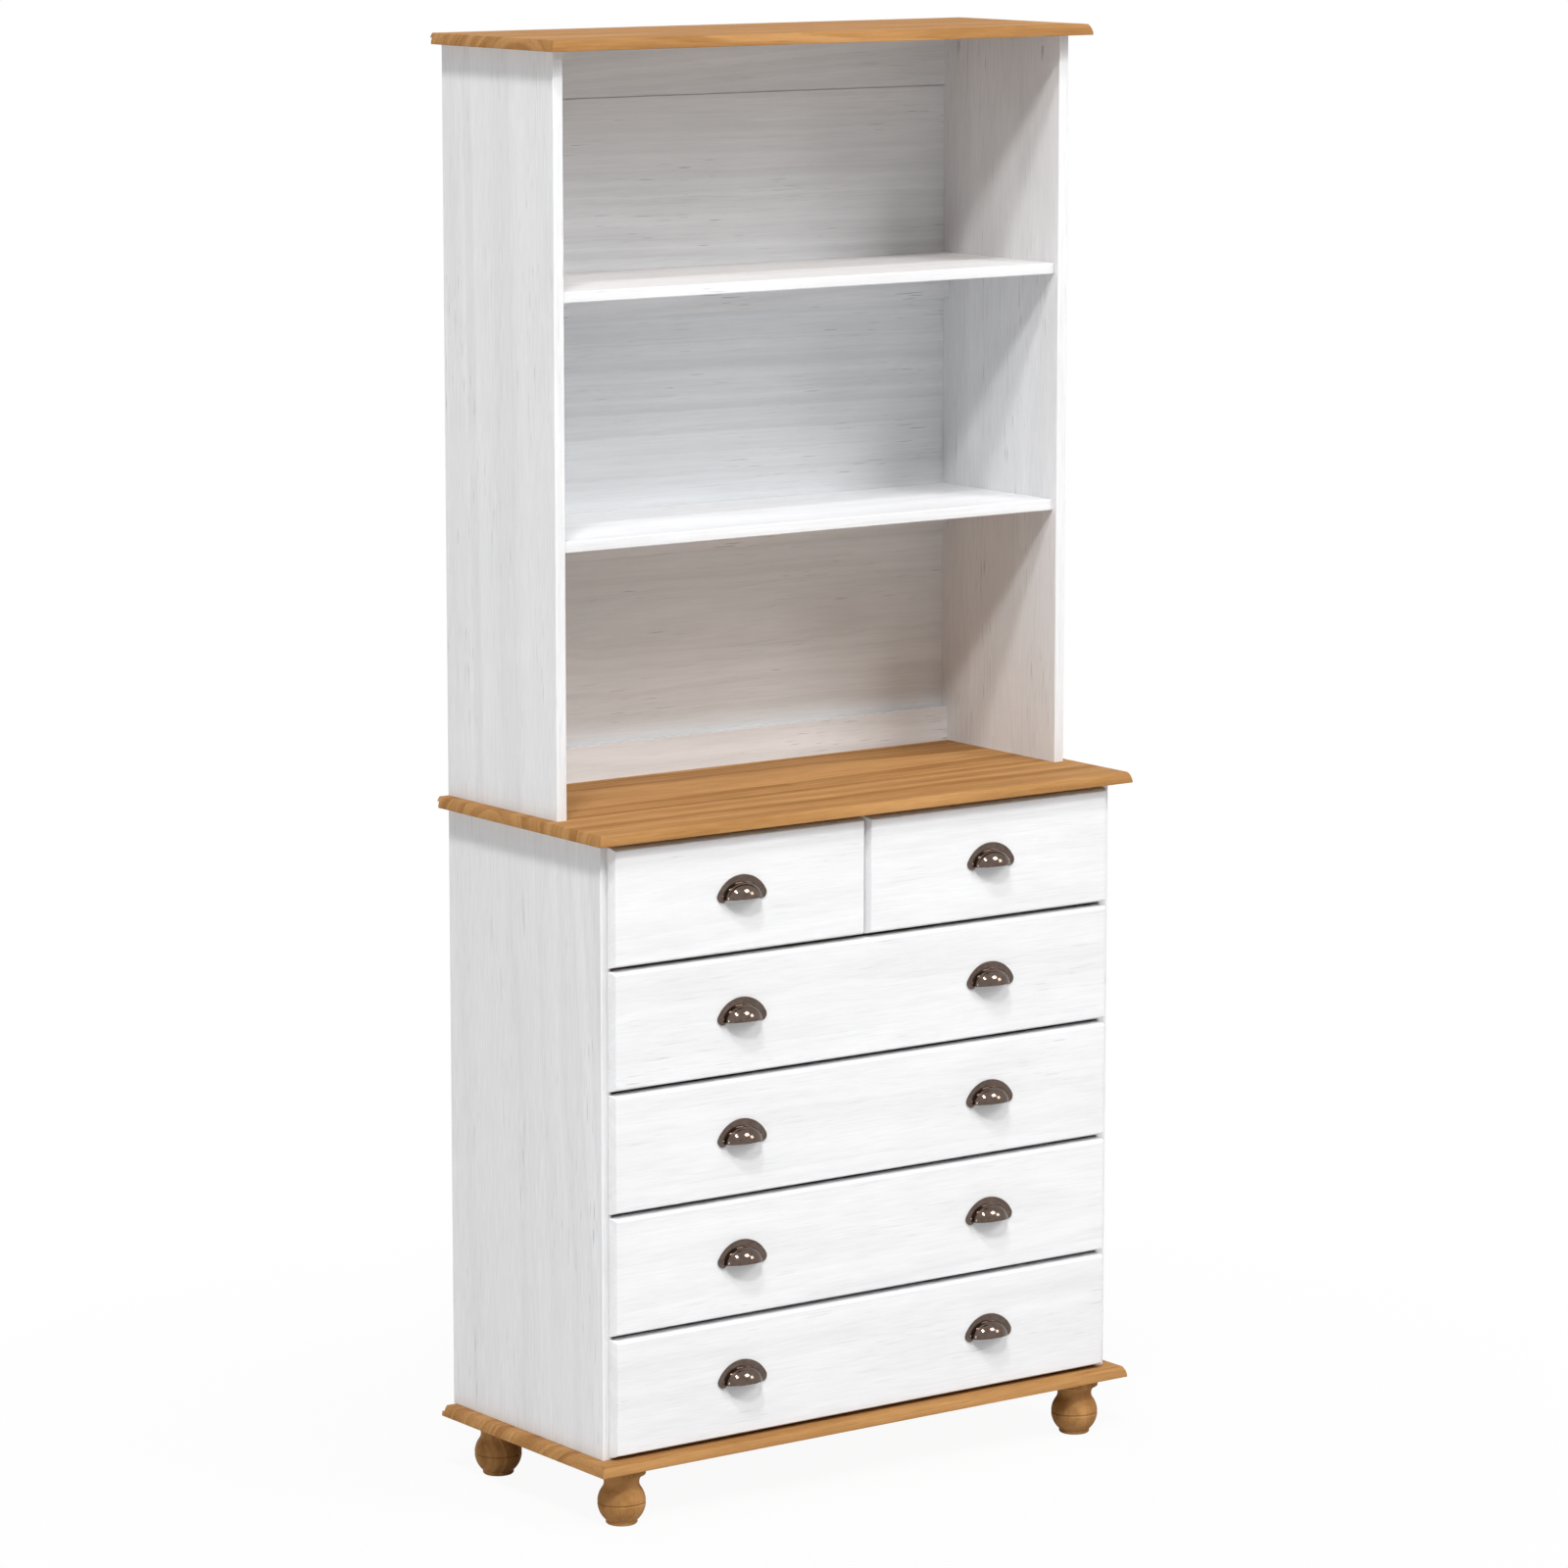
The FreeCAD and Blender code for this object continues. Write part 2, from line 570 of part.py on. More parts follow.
def runners():
    """Runner battens, their screws, and the screws' bores."""
    bite = SIDE_BOARD / 2 - OPPOSED_SCREW_GAP / 2
    length = RUNNER_WIDTH - RUNNER_SCREW_RECESS + bite
    screw_blank = countersunk_screw(length)
    bore_blank = countersunk_screw(length, FIT_CLEARANCE)
    mouth_blank = Part.makeCylinder(SCREW_HEAD_RADIUS + FIT_CLEARANCE, RUNNER_SCREW_RECESS)
    battens = []
    screws = []
    bores = []
    for face, away, row in runner_places():
        tip = face + away * RUNNER_WIDTH
        bottom = row_bottom(row) + BOX_RISE + RUNNER_RISE
        batten = box(sorted((face, tip)), (RUNNER_FRONT, RUNNER_REAR), (bottom, bottom + RUNNER_HEIGHT))
        inward = Vector(-away, 0, 0)
        own_bores = []
        for y in (RUNNER_FRONT + RUNNER_SCREW_INSET, RUNNER_REAR - RUNNER_SCREW_INSET):
            mouth = Vector(tip, y, bottom + RUNNER_HEIGHT / 2)
            seat = mouth + inward * RUNNER_SCREW_RECESS
            screws.append(aimed(screw_blank, seat, inward))
            own_bores.append(aimed(bore_blank, seat, inward))
            own_bores.append(aimed(mouth_blank, mouth, inward))
        battens.append(drilled(batten, own_bores))
        bores += own_bores
    return battens, screws, bores


def partition_rails():
    """Two rails across the carcass, set back out of sight, that the partition stands on."""
    z = (PARTITION_BOTTOM - PARTITION_RAIL_THICKNESS, PARTITION_BOTTOM)
    front = BUFFET_FRONT + PARTITION_RAIL_SETBACK
    rear = BACK_FACE - PARTITION_RAIL_DEPTH
    return [box((-INNER_HALF, INNER_HALF), (y, y + PARTITION_RAIL_DEPTH), z) for y in (front, rear)]


# Dowel joints

def dowel_places():
    """(joint, direction into the end, depth in the face) of every dowel."""
    in_honey = MOULDED_BOARD / 2 - OPPOSED_DOWEL_GAP / 2
    in_rail = PARTITION_RAIL_THICKNESS - DOWEL_COVER
    in_side = SIDE_BOARD - DOWEL_COVER
    down = Vector(0, 0, -1)
    buffet_y = (BUFFET_FRONT + DOWEL_INSET, REAR - DOWEL_INSET)
    hutch_y = (HUTCH_FRONT + DOWEL_INSET, REAR - DOWEL_INSET)
    rail_y = [rail.BoundBox.Center.y for rail in partition_rails()]
    rail_z = PARTITION_BOTTOM - PARTITION_RAIL_THICKNESS / 2
    shelf_y = (HUTCH_FRONT + SHELF_SETBACK + DOWEL_INSET, REAR - DOWEL_INSET)
    back_rail_y = BACK_FACE - RAIL_THICKNESS / 2
    places = []
    for side in (-1, 1):
        board_x = side * (OUTER_HALF - SIDE_BOARD / 2)
        face_x = side * INNER_HALF
        into_end = Vector(-side, 0, 0)
        for y in buffet_y:
            places.append((Vector(board_x, y, BASE_TOP), UP, in_honey))
            places.append((Vector(board_x, y, WORKTOP_UNDERSIDE), down, in_honey))
        for y in hutch_y:
            places.append((Vector(board_x, y, WORKTOP_TOP), UP, in_honey))
        for y in rail_y:
            places.append((Vector(face_x, y, rail_z), into_end, in_side))
        for shelf_top in (LOWER_SHELF_TOP, UPPER_SHELF_TOP):
            underside = shelf_top - SHELF_BOARD
            for y in shelf_y:
                places.append((Vector(face_x, y, shelf_top - SHELF_BOARD / 2), into_end, in_side))
            places.append((Vector(face_x, back_rail_y, underside - RAIL_HEIGHT / 2), into_end, in_side))
        places.append((Vector(face_x, back_rail_y, WORKTOP_TOP + RAIL_HEIGHT / 2), into_end, in_side))
    for y in rail_y:
        places.append((Vector(0, y, PARTITION_BOTTOM), UP, in_rail))
        places.append((Vector(0, y, WORKTOP_UNDERSIDE), down, in_honey))
    return places


# Slanted pocket screws through the hutch sides into the hutch top

def pocket_screws():
    """The screws, and the bores they need: a wide pocket from the inner face and a narrow way on."""
    tilt = math.radians(POCKET_TILT)
    bite = (MOULDED_BOARD - POCKET_SCREW_COVER) / math.cos(tilt)
    screw_length = POCKET_SEAT_DEPTH + bite
    screw_blank = flat_head_screw(screw_length)
    way_blank = Part.makeCylinder(SCREW_SHANK_RADIUS + FIT_CLEARANCE, screw_length + FIT_CLEARANCE)
    pocket_length = 2 * SIDE_BOARD / math.sin(tilt)
    screws = []
    bores = []
    for side in (-1, 1):
        direction = Vector(side * math.sin(tilt), 0, math.cos(tilt))
        for y in (HUTCH_FRONT + POCKET_INSET, REAR - POCKET_INSET):
            exit_point = Vector(side * (OUTER_HALF - SIDE_BOARD / 2), y, HUTCH_TOP_UNDERSIDE)
            seat = exit_point - direction * POCKET_SEAT_DEPTH
            screws.append(aimed(screw_blank, seat, direction))
            bores.append(aimed(way_blank, seat, direction))
            pocket_start = seat - direction * pocket_length
            bores.append(Part.makeCylinder(POCKET_RADIUS, pocket_length, pocket_start, direction))
    return screws, bores


# Feet in place, with their bolts and the bolts' bores

def feet():
    half = OUTER_HALF + SIDE_OVERHANG - FOOT_SIDE_INSET
    corners = {
        "bun_foot_front_left": (-half, BUFFET_FRONT - FRONT_OVERHANG + FOOT_FRONT_INSET),
        "bun_foot_front_right": (half, BUFFET_FRONT - FRONT_OVERHANG + FOOT_FRONT_INSET),
        "bun_foot_rear_left": (-half, REAR - FOOT_REAR_INSET),
        "bun_foot_rear_right": (half, REAR - FOOT_REAR_INSET),
    }
    foot_blank = bun_foot()
    bolt_foot = FOOT_HEIGHT - BOLT_IN_FOOT
    foot_nodes = {}
    bolts = []
    bores = []
    for name, (x, y) in corners.items():
        bolts.append(hanger_bolt().translated(Vector(x, y, bolt_foot)))
        bores.append(hanger_bolt(FIT_CLEARANCE).translated(Vector(x, y, bolt_foot)))
        foot_nodes[name] = [drilled(foot_blank.translated(Vector(x, y, 0)), bores)]
    return foot_nodes, bolts, bores


# The whole piece

def build():
    foot_nodes, bolts, bolt_bores = feet()
    battens, runner_screws, runner_bores = runners()
    slanted_screws, pocket_bores = pocket_screws()
    joints = dowel_places()
    bores = dowel_set(joints, FIT_CLEARANCE) + bolt_bores + runner_bores + pocket_bores

    base = honey_board(BUFFET_DEPTH, FOOT_HEIGHT).cut(rear_rabbet(BASE_TOP - BACK_LAP))
    worktop = honey_board(BUFFET_DEPTH, WORKTOP_UNDERSIDE).cut(rear_rabbet(WORKTOP_UNDERSIDE))
    hutch_top = honey_board(HUTCH_DEPTH, HUTCH_TOP_UNDERSIDE).cut(rear_rabbet(HUTCH_TOP_UNDERSIDE))
    panel_lap = BACK_LAP - BACK_LAP_CLEARANCE
    partition = prism(
        eased_outline(
            -PARTITION_HALF, PARTITION_HALF, BUFFET_FRONT, BACK_FACE,
            lambda x, y: Vector(x, y, PARTITION_BOTTOM)),
        Vector(0, 0, WORKTOP_UNDERSIDE - PARTITION_BOTTOM))
    shelf_tops = (UPPER_SHELF_TOP, LOWER_SHELF_TOP)
    shelf_rails = [back_rail(top - SHELF_BOARD - RAIL_HEIGHT) for top in shelf_tops]

    drilled_boards = {
        "base_board": [base],
        "buffet_left_side": [upright(-1, BUFFET_FRONT, BASE_TOP, WORKTOP_UNDERSIDE)],
        "buffet_right_side": [upright(1, BUFFET_FRONT, BASE_TOP, WORKTOP_UNDERSIDE)],
        "worktop": [worktop],
        "drawer_partition": [partition],
        "partition_rails": partition_rails(),
        "hutch_left_side": [upright(-1, HUTCH_FRONT, WORKTOP_TOP, HUTCH_TOP_UNDERSIDE)],
        "hutch_right_side": [upright(1, HUTCH_FRONT, WORKTOP_TOP, HUTCH_TOP_UNDERSIDE)],
        "hutch_upper_shelf": [shelf(UPPER_SHELF_TOP)],
        "hutch_lower_shelf": [shelf(LOWER_SHELF_TOP)],
        "hutch_shelf_rails": shelf_rails,
        "hutch_bottom_rail": [back_rail(WORKTOP_TOP)],
        "hutch_top": [hutch_top],
    }
    nodes = {name: [drilled(board, bores) for board in boards] for name, boards in drilled_boards.items()}
    nodes.update(foot_nodes)
    nodes["foot_bolts"] = bolts
    nodes["buffet_back_panel"] = [back_panel(BASE_TOP - panel_lap, WORKTOP_UNDERSIDE + panel_lap)]
    nodes["hutch_back_panel"] = [back_panel(WORKTOP_TOP, HUTCH_TOP_UNDERSIDE + panel_lap)]
    nodes["drawer_runners"] = battens
    nodes["runner_screws"] = runner_screws
    nodes["pocket_screws"] = slanted_screws
    nodes["carcass_dowels"] = dowel_set(joints)
    nodes.update(drawers())
    return nodes


def main():
    os.makedirs("parts", exist_ok=True)
    for name, solids in build().items():
        shape = solids[0] if len(solids) == 1 else Part.makeCompound(solids)
        shape.exportStep(os.path.join("parts", name + ".step"))


main()
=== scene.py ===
import json
import math
from contextlib import contextmanager

import bmesh
import bpy
from bpy.props import FloatProperty, FloatVectorProperty, PointerProperty
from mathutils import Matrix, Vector

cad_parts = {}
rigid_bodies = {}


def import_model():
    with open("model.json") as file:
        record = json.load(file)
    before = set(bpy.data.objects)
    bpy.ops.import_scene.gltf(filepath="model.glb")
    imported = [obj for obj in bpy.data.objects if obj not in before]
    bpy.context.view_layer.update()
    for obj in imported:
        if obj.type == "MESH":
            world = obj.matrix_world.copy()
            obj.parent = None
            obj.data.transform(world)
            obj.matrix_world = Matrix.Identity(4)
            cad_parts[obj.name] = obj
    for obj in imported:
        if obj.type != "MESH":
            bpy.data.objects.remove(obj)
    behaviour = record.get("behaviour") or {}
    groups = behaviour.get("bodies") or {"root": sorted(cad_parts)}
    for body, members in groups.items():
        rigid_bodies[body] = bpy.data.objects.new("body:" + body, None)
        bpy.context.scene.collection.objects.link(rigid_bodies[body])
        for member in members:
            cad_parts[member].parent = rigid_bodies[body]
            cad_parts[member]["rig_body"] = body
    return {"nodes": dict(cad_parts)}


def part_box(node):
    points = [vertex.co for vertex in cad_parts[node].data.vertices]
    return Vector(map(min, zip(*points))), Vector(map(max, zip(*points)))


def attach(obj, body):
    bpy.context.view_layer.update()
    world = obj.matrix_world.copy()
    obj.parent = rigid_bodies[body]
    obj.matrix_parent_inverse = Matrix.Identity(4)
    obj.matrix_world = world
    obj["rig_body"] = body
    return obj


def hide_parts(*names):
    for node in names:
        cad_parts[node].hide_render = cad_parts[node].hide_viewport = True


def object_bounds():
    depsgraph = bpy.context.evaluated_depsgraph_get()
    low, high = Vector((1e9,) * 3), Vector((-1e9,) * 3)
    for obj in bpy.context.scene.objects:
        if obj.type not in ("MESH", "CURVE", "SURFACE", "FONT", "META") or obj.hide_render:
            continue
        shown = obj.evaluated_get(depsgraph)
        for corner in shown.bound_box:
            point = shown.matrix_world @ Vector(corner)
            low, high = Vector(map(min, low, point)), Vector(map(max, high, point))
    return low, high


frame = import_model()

bl_info = {
    "name": "Pine buffet and hutch",
    "version": (1, 0, 0),
    "blender": (4, 5, 0),
    "location": "3D View > Sidebar > Buffet",
    "description": "Dresses a buffet and hutch with moulded boards, turned feet, cup pulls and wood finishes",
    "category": "Object",
}

CAD_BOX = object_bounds()
CABINET = "cabinet"
DRAWERS = (
    "top_left_drawer", "top_right_drawer", "second_drawer", "third_drawer", "fourth_drawer", "bottom_drawer",
)
FEET = ("bun_foot_front_left", "bun_foot_front_right", "bun_foot_rear_left", "bun_foot_rear_right")
AXES = "XYZ"
# Steps along a moulded edge, along an eased one, round a turned foot, along its arcs and along a flange's
MOULDING_STEPS = 10
EASE_STEPS = 4
TURNING_STEPS = 72
ARC_STEPS = 12
FLANGE_STEPS = 40
# Segments round a pull's cup, a screw's head, a screw pocket, a shank and a nail head
CUP_SEGMENTS = 96
HEAD_SEGMENTS = 32
POCKET_SEGMENTS = 32
SHANK_SEGMENTS = 24
NAIL_SEGMENTS = 16
# Rings from end to end of a cup and of a screw's head
CUP_RINGS = 48
HEAD_RINGS = 24
# How far a cutting block runs past the wood that it leaves
OVERCUT = 0.002
# Points of a turned foot that lie closer than this are one
MERGE_DISTANCE = 0.00001
# Corners that turn by less than this stay smooth
SMOOTH_ANGLE = math.radians(32)
# Share of each finer step of a noise
NOISE_ROUGHNESS = 0.6
# How far a board's rings wander and waver, in metres, and how much they lean along it
RING_WANDER = 0.035
RING_WAVER = 0.006
RING_LEAN = 0.12
# Roughness of the white-stained boards
WHITE_ROUGHNESS = 0.46
WHITE = (1, 1, 1, 1)


def screen_colour(red, green, blue):
    """A colour of 0 to 255 screen values as linear light."""
    channels = (red / 255, green / 255, blue / 255)
    return tuple(c / 12.92 if c <= 0.04045 else ((c + 0.055) / 1.055) ** 2.4 for c in channels)


def length(name, description, default):
    return FloatProperty(
        name=name, description=description, default=default, min=0, precision=5, unit="LENGTH")


def degrees(name, description, default):
    return FloatProperty(
        name=name, description=description, default=math.radians(default), subtype="ANGLE")


def share(name, description, default):
    return FloatProperty(name=name, description=description, default=default, min=0, max=1)


def colour(name, description, red, green, blue):
    return FloatVectorProperty(
        name=name, description=description, default=screen_colour(red, green, blue),
        min=0, max=1, subtype="COLOR")


# What a user may change

class BoardSizes(bpy.types.PropertyGroup):
    moulding_radius: length("Moulding radius", "Cutter that shapes the honey boards and drawer lips", 0.024)
    arris: length("Arris", "Rounding of the boards' corners", 0.0006)
    panel_arris: length("Panel arris", "Rounding of the corners of panels and rails", 0.0002)
    front_ease: length("Front ease", "Rounding of the front edges of sides and shelves", 0.0015)
    lap_clearance: length("Lap clearance", "Space at the ends of a back panel in its rabbet", 0.0005)
    panel_joint: length("Panel joint", "Height of the top board of the hutch back", 0.079)
    panel_seam: length("Panel seam", "Gap between the boards of the hutch back", 0.0022)
    pocket_radius: length("Pocket radius", "Radius of the slanted screw pockets", 0.0035)
    pocket_seat: length("Pocket seat", "Depth at which a slanted screw's head sits", 0.013)
    pocket_tilt: degrees("Pocket tilt", "Lean of the slanted screws", 15)
    pocket_head: length("Pocket screw head", "Radius of a slanted screw's head", 0.0032)
    lip_gap: length("Lip gap", "Space between a drawer front's lip and the carcass", 0.0003)
    tongue_lap: length("Tongue lap", "How far a front's tongue runs past its drawer's sides", 0.0035)
    nail_radius: length("Nail radius", "Radius of a back panel's nail heads", 0.0014)
    nail_height: length("Nail height", "Height of a back panel's nail heads", 0.0003)
    nail_inset: length("Nail inset", "Distance of the nails from a back panel's edges", 0.0042)
    nail_pitch: length("Nail pitch", "Largest space between a back panel's nails", 0.14)


class FootSizes(bpy.types.PropertyGroup):
    pad_radius: length("Pad radius", "Radius of the flat that a foot stands on", 0.0215)
    pad_height: length("Pad height", "Height of the pad", 0.0052)
    pad_chamfer: length("Pad chamfer", "Chamfer round the pad's lower edge", 0.0015)
    ball_radius: length("Ball radius", "Radius of the ball", 0.0328)
    shoulder_rise: length("Shoulder rise", "Height of the ball's shoulder above its middle", 0.019)
    waist_rise: length("Waist rise", "Height of the waist above the shoulder", 0.008)
    neck_radius: length("Neck radius", "Radius at the waist", 0.024)
    cove_radius: length("Cove radius", "Radius of the hollow above the ball", 0.013)
    cove_top_radius: length("Cove top radius", "Radius where the hollow meets the flange", 0.032)
    groove: length("Groove", "Depth of the scribed line round the ball", 0.0016)


class PullSizes(bpy.types.PropertyGroup):
    hole_spacing: length("Hole spacing", "Distance between a pull's two screws", 0.064)
    ear_radius: length("Ear radius", "Radius of the ears round the screws", 0.0082)
    flange_rise: length("Flange rise", "Height of the flange above the screws", 0.0275)
    flange_thickness: length("Flange thickness", "Thickness of the flange", 0.002)
    cup_radius: length("Cup radius", "How far the cup stands out of its flange", 0.02)
    cup_half: length("Cup half width", "Half of the cup's width", 0.0295)
    cup_height: length("Cup height", "Height of the cup above its lip, at the flange", 0.0235)
    wall: length("Wall", "Thickness of the cup", 0.0018)
    lip_drop: length("Lip drop", "Depth of the cup's lip below the screws, at the flange", 0.005)
    lip_tilt: degrees("Lip tilt", "Rise of the lip to the front", 4.5)
    screw_head_radius: length("Screw head radius", "Radius of a pull screw's domed head", 0.0023)
    screw_head_height: length("Screw head height", "Height of a pull screw's domed head", 0.002)
    screw_shank_radius: length("Screw shank radius", "Radius of a pull screw's shank", 0.0015)
    slot_width: length("Slot width", "Width of a screw's slot", 0.0006)
    slot_depth: length("Slot depth", "Depth of a screw's slot", 0.0007)


class FinishColours(bpy.types.PropertyGroup):
    white_paint: colour("White stain", "White-stained pine between its grain lines", 235, 235, 236)
    white_grain: colour("White grain", "Darker bands of the white-stained pine", 211, 211, 212)
    white_fleck: colour("White flecks", "Short dark flecks in the white-stained pine", 160, 158, 156)
    # The hutch back's two colours hold a painted cool tint. They are a little bluer than the other white
    # boards, to offset the warm light that the honey boards bounce into the hutch.
    white_panel: colour("White panel", "White-stained hutch back between its grain lines", 233, 235, 237)
    white_panel_grain_painted_cool: colour("White panel grain", "Darker bands of the hutch back", 209, 211, 213)
    honey: colour("Honey", "Honey-stained pine", 193, 147, 94)
    honey_grain: colour("Honey grain", "Darker bands of the honey-stained pine", 141, 97, 51)
    honey_fleck: colour("Honey flecks", "Short dark flecks in the honey-stained pine", 112, 72, 38)
    raw_pine: colour("Raw pine", "Unfinished pine of the drawer boxes", 226, 198, 158)
    raw_pine_grain: colour("Raw pine grain", "Grain lines of the unfinished pine", 200, 162, 114)
    panel: colour("Panel", "Thin panels of drawer bottoms and the buffet back", 222, 204, 174)
    panel_grain: colour("Panel grain", "Fibres of the thin panels", 198, 176, 142)
    beech: colour("Beech", "Runners and dowels", 214, 178, 138)
    beech_grain: colour("Beech grain", "Grain lines of the runners and dowels", 184, 142, 102)
    bronze: colour("Bronze", "Antique bronze of the pulls", 110, 97, 89)
    bronze_patina: colour("Bronze patina", "Dark patina of the pulls", 92, 78, 70)
    zinc: colour("Zinc", "Zinc-plated screws, bolts and nails", 196, 198, 200)
    zinc_dull: colour("Dull zinc", "Dull patches of the zinc plating", 150, 153, 158)


class StudioSettings(bpy.types.PropertyGroup):
    camera_place: FloatVectorProperty(
        name="Camera place", description="Where the camera stands",
        default=(-4.8693, -6.6934, 2.3245), unit="LENGTH")
    camera_turn: degrees("Camera turn", "Turn of the camera to its right of straight ahead", 35.977)
    camera_dip: degrees("Camera dip", "Dip of the camera below level", 9.425)
    lens: FloatProperty(
        name="Lens", description="Focal length on a 36 mm sensor", default=139.67, unit="CAMERA")
    ambient: share("Ambient", "Strength of the even light from all round", 0.25)
    floor_size: length("Floor size", "Side of the square floor", 30.0)
    floor_grey: share("Floor grey", "Share of the light that the floor gives back", 0.6)
    floor_white: share("Floor white", "Share of the floor under the object that is seen as plain white", 0.94)
    shadow_reach: length("Shadow reach", "Distance from the middle where the shadow starts to fade", 0.5)
    shadow_end: length("Shadow end", "Distance from the middle where the floor is plain white", 1.5)


# Modelling by hand: blocks, edits and modifiers

def select_only(*objects):
    bpy.ops.object.select_all(action="DESELECT")
    for obj in objects:
        obj.select_set(True)
    bpy.context.view_layer.objects.active = objects[0]


def named(obj, name):
    obj.name = name
    obj.data.name = name
    return obj


def settle(obj):
    """Moves an object's place, turn and size into its mesh."""
    select_only(obj)
    bpy.ops.object.transform_apply(location=True, rotation=True, scale=True)
    return obj


def started(name, primitive, **settings):
    """A new object from one of Blender's primitives, to be worked on."""
    bpy.ops.object.select_all(action="DESELECT")
    primitive(**settings)
    return named(bpy.context.object, name)


def block(name, low, high):
    """A box between two corners."""
    obj = started(name, bpy.ops.mesh.primitive_cube_add, size=1)
    obj.location = (Vector(low) + Vector(high)) / 2
    obj.scale = Vector(high) - Vector(low)
    return settle(obj)


def drawn(name, points):
    """A chain of edges from point to point."""
    obj = started(name, bpy.ops.mesh.primitive_plane_add, size=OVERCUT)
    with editing(obj, "VERT"):
        bpy.ops.mesh.select_all(action="SELECT")
        bpy.ops.mesh.merge(type="CENTER")
        bpy.ops.transform.translate(value=points[0])
        for start, end in zip(points, points[1:]):
            bpy.ops.mesh.extrude_region_move(TRANSFORM_OT_translate={"value": Vector(end) - Vector(start)})
    return obj


def rod(name, start, end, radius, sides):
    """A cylinder between two points."""
    start, end = Vector(start), Vector(end)
    span = (end - start).length
    obj = started(name, bpy.ops.mesh.primitive_cylinder_add, vertices=sides, radius=radius, depth=span)
    obj.rotation_mode = "QUATERNION"
    obj.rotation_quaternion = (end - start).to_track_quat("Z", "Y")
    obj.location = (start + end) / 2
    return settle(obj)


@contextmanager
def editing(obj, mode="FACE"):
    """Edit mode on one object, with nothing selected at its start."""
    select_only(obj)
    bpy.ops.object.mode_set(mode="EDIT")
    bpy.ops.mesh.select_mode(type=mode)
    bpy.ops.mesh.select_all(action="DESELECT")
    yield
    bpy.ops.object.mode_set(mode="OBJECT")


def pick(obj, kind, wanted):
    """Selects the faces or edges of the object in edit mode that a test accepts, and no others."""
    mesh = bmesh.from_edit_mesh(obj.data)
    for element in getattr(mesh, kind):
        element.select_set(bool(wanted(element)))
    mesh.select_flush_mode()
    bmesh.update_edit_mesh(obj.data)


def apply_modifier(obj, kind, **settings):
    modifier = obj.modifiers.new(kind.title(), kind)
    for name, value in settings.items():
        setattr(modifier, name, value)
    select_only(obj)
    bpy.ops.object.modifier_apply(modifier=modifier.name)


def discard(obj):
    mesh = obj.data
    bpy.data.objects.remove(obj)
    bpy.data.meshes.remove(mesh)


def combine(obj, tool, operation):
    """Cuts a tool out of an object, or fuses it on, and throws the tool away."""
    apply_modifier(obj, "BOOLEAN", object=tool, operation=operation, solver="EXACT")
    discard(tool)


def join(objects, name):
    select_only(*objects)
    if len(objects) > 1:
        bpy.ops.object.join()
    return named(bpy.context.object, name)


def placed_copy(model, name, shift):
    """A copy with its own mesh, moved."""
    select_only(model)
    bpy.ops.object.duplicate(linked=False)
    copy = named(bpy.context.object, name)
    copy.location = shift
    return settle(copy)


def shade(obj):
    """Shades the curves smooth and leaves the corners sharp."""
    select_only(obj)
    bpy.ops.object.shade_smooth_by_angle(angle=SMOOTH_ANGLE)
    return obj


def soften(obj, width, segments=3):
    """Rounds the corners that are left and shades the flats flat."""
    apply_modifier(
        obj, "BEVEL", width=width, segments=segments, limit_method="ANGLE", angle_limit=SMOOTH_ANGLE,
        use_clamp_overlap=True, miter_outer="MITER_ARC")
    apply_modifier(shade(obj), "WEIGHTED_NORMAL", keep_sharp=True)
    return obj


def moulded_slab(name, low, high, axis, sign, radius, square=()):
    """A board whose edges lean in along a cutter's arc as it nears one face.

    The face is the one that looks along the axis in the sense of the sign. square lists the (axis, sign) of
    the sides that stay upright.
    """
    low, high = Vector(low), Vector(high)
    sweep = math.asin((high[axis] - low[axis]) / radius)
    foot = low[axis] if sign > 0 else high[axis]
    start_low, start_high = low.copy(), high.copy()
    first = foot + sign * radius * math.sin(sweep / MOULDING_STEPS)
    if sign > 0:
        start_high[axis] = first
    else:
        start_low[axis] = first
    obj = block(name, start_low, start_high)
    level = first
    edge_low, edge_high = low.copy(), high.copy()
    with editing(obj):
        pick(obj, "faces", lambda face: face.normal[axis] * sign > 0.5)
        for step in range(1, MOULDING_STEPS + 1):
            angle = sweep * step / MOULDING_STEPS
            rise = Vector()
            rise[axis] = foot + sign * radius * math.sin(angle) - level
            if step > 1:
                bpy.ops.mesh.extrude_region_move(TRANSFORM_OT_translate={"value": rise})
            level += rise[axis]
            inset = radius * (1 - math.cos(angle))
            factor = Vector((1, 1, 1))
            pivot = Vector()
            for other in (a for a in range(3) if a != axis):
                new_low = low[other] + (0 if (other, -1) in square else inset)
                new_high = high[other] - (0 if (other, 1) in square else inset)
                factor[other] = (new_high - new_low) / (edge_high[other] - edge_low[other])
                pivot[other] = (new_low - factor[other] * edge_low[other]) / (1 - factor[other])
                edge_low[other], edge_high[other] = new_low, new_high
            pivot[axis] = level
            bpy.ops.transform.resize(value=factor, center_override=pivot)
    return obj


def ease_front(obj, front, axis):
    """Rounds the edges of a board's front face that run square to an axis."""
    sizes = bpy.context.scene.buffet_boards

    def wanted(edge):
        start, end = (corner.co for corner in edge.verts)
        return max(start.y, end.y) < front + sizes.arris and abs(start[axis] - end[axis]) < sizes.arris

    with editing(obj, "EDGE"):
        pick(obj, "edges", wanted)
        bpy.ops.mesh.bevel(
            offset=sizes.front_ease, segments=EASE_STEPS, affect="EDGES", offset_type="OFFSET")


def set_heart(obj, place):
    """Records where the tree's heart ran beside a board, which sets its figure."""
    attribute = obj.data.attributes.new("heart", "FLOAT_VECTOR", "POINT")
    attribute.data.foreach_set("vector", list(place) * len(obj.data.vertices))


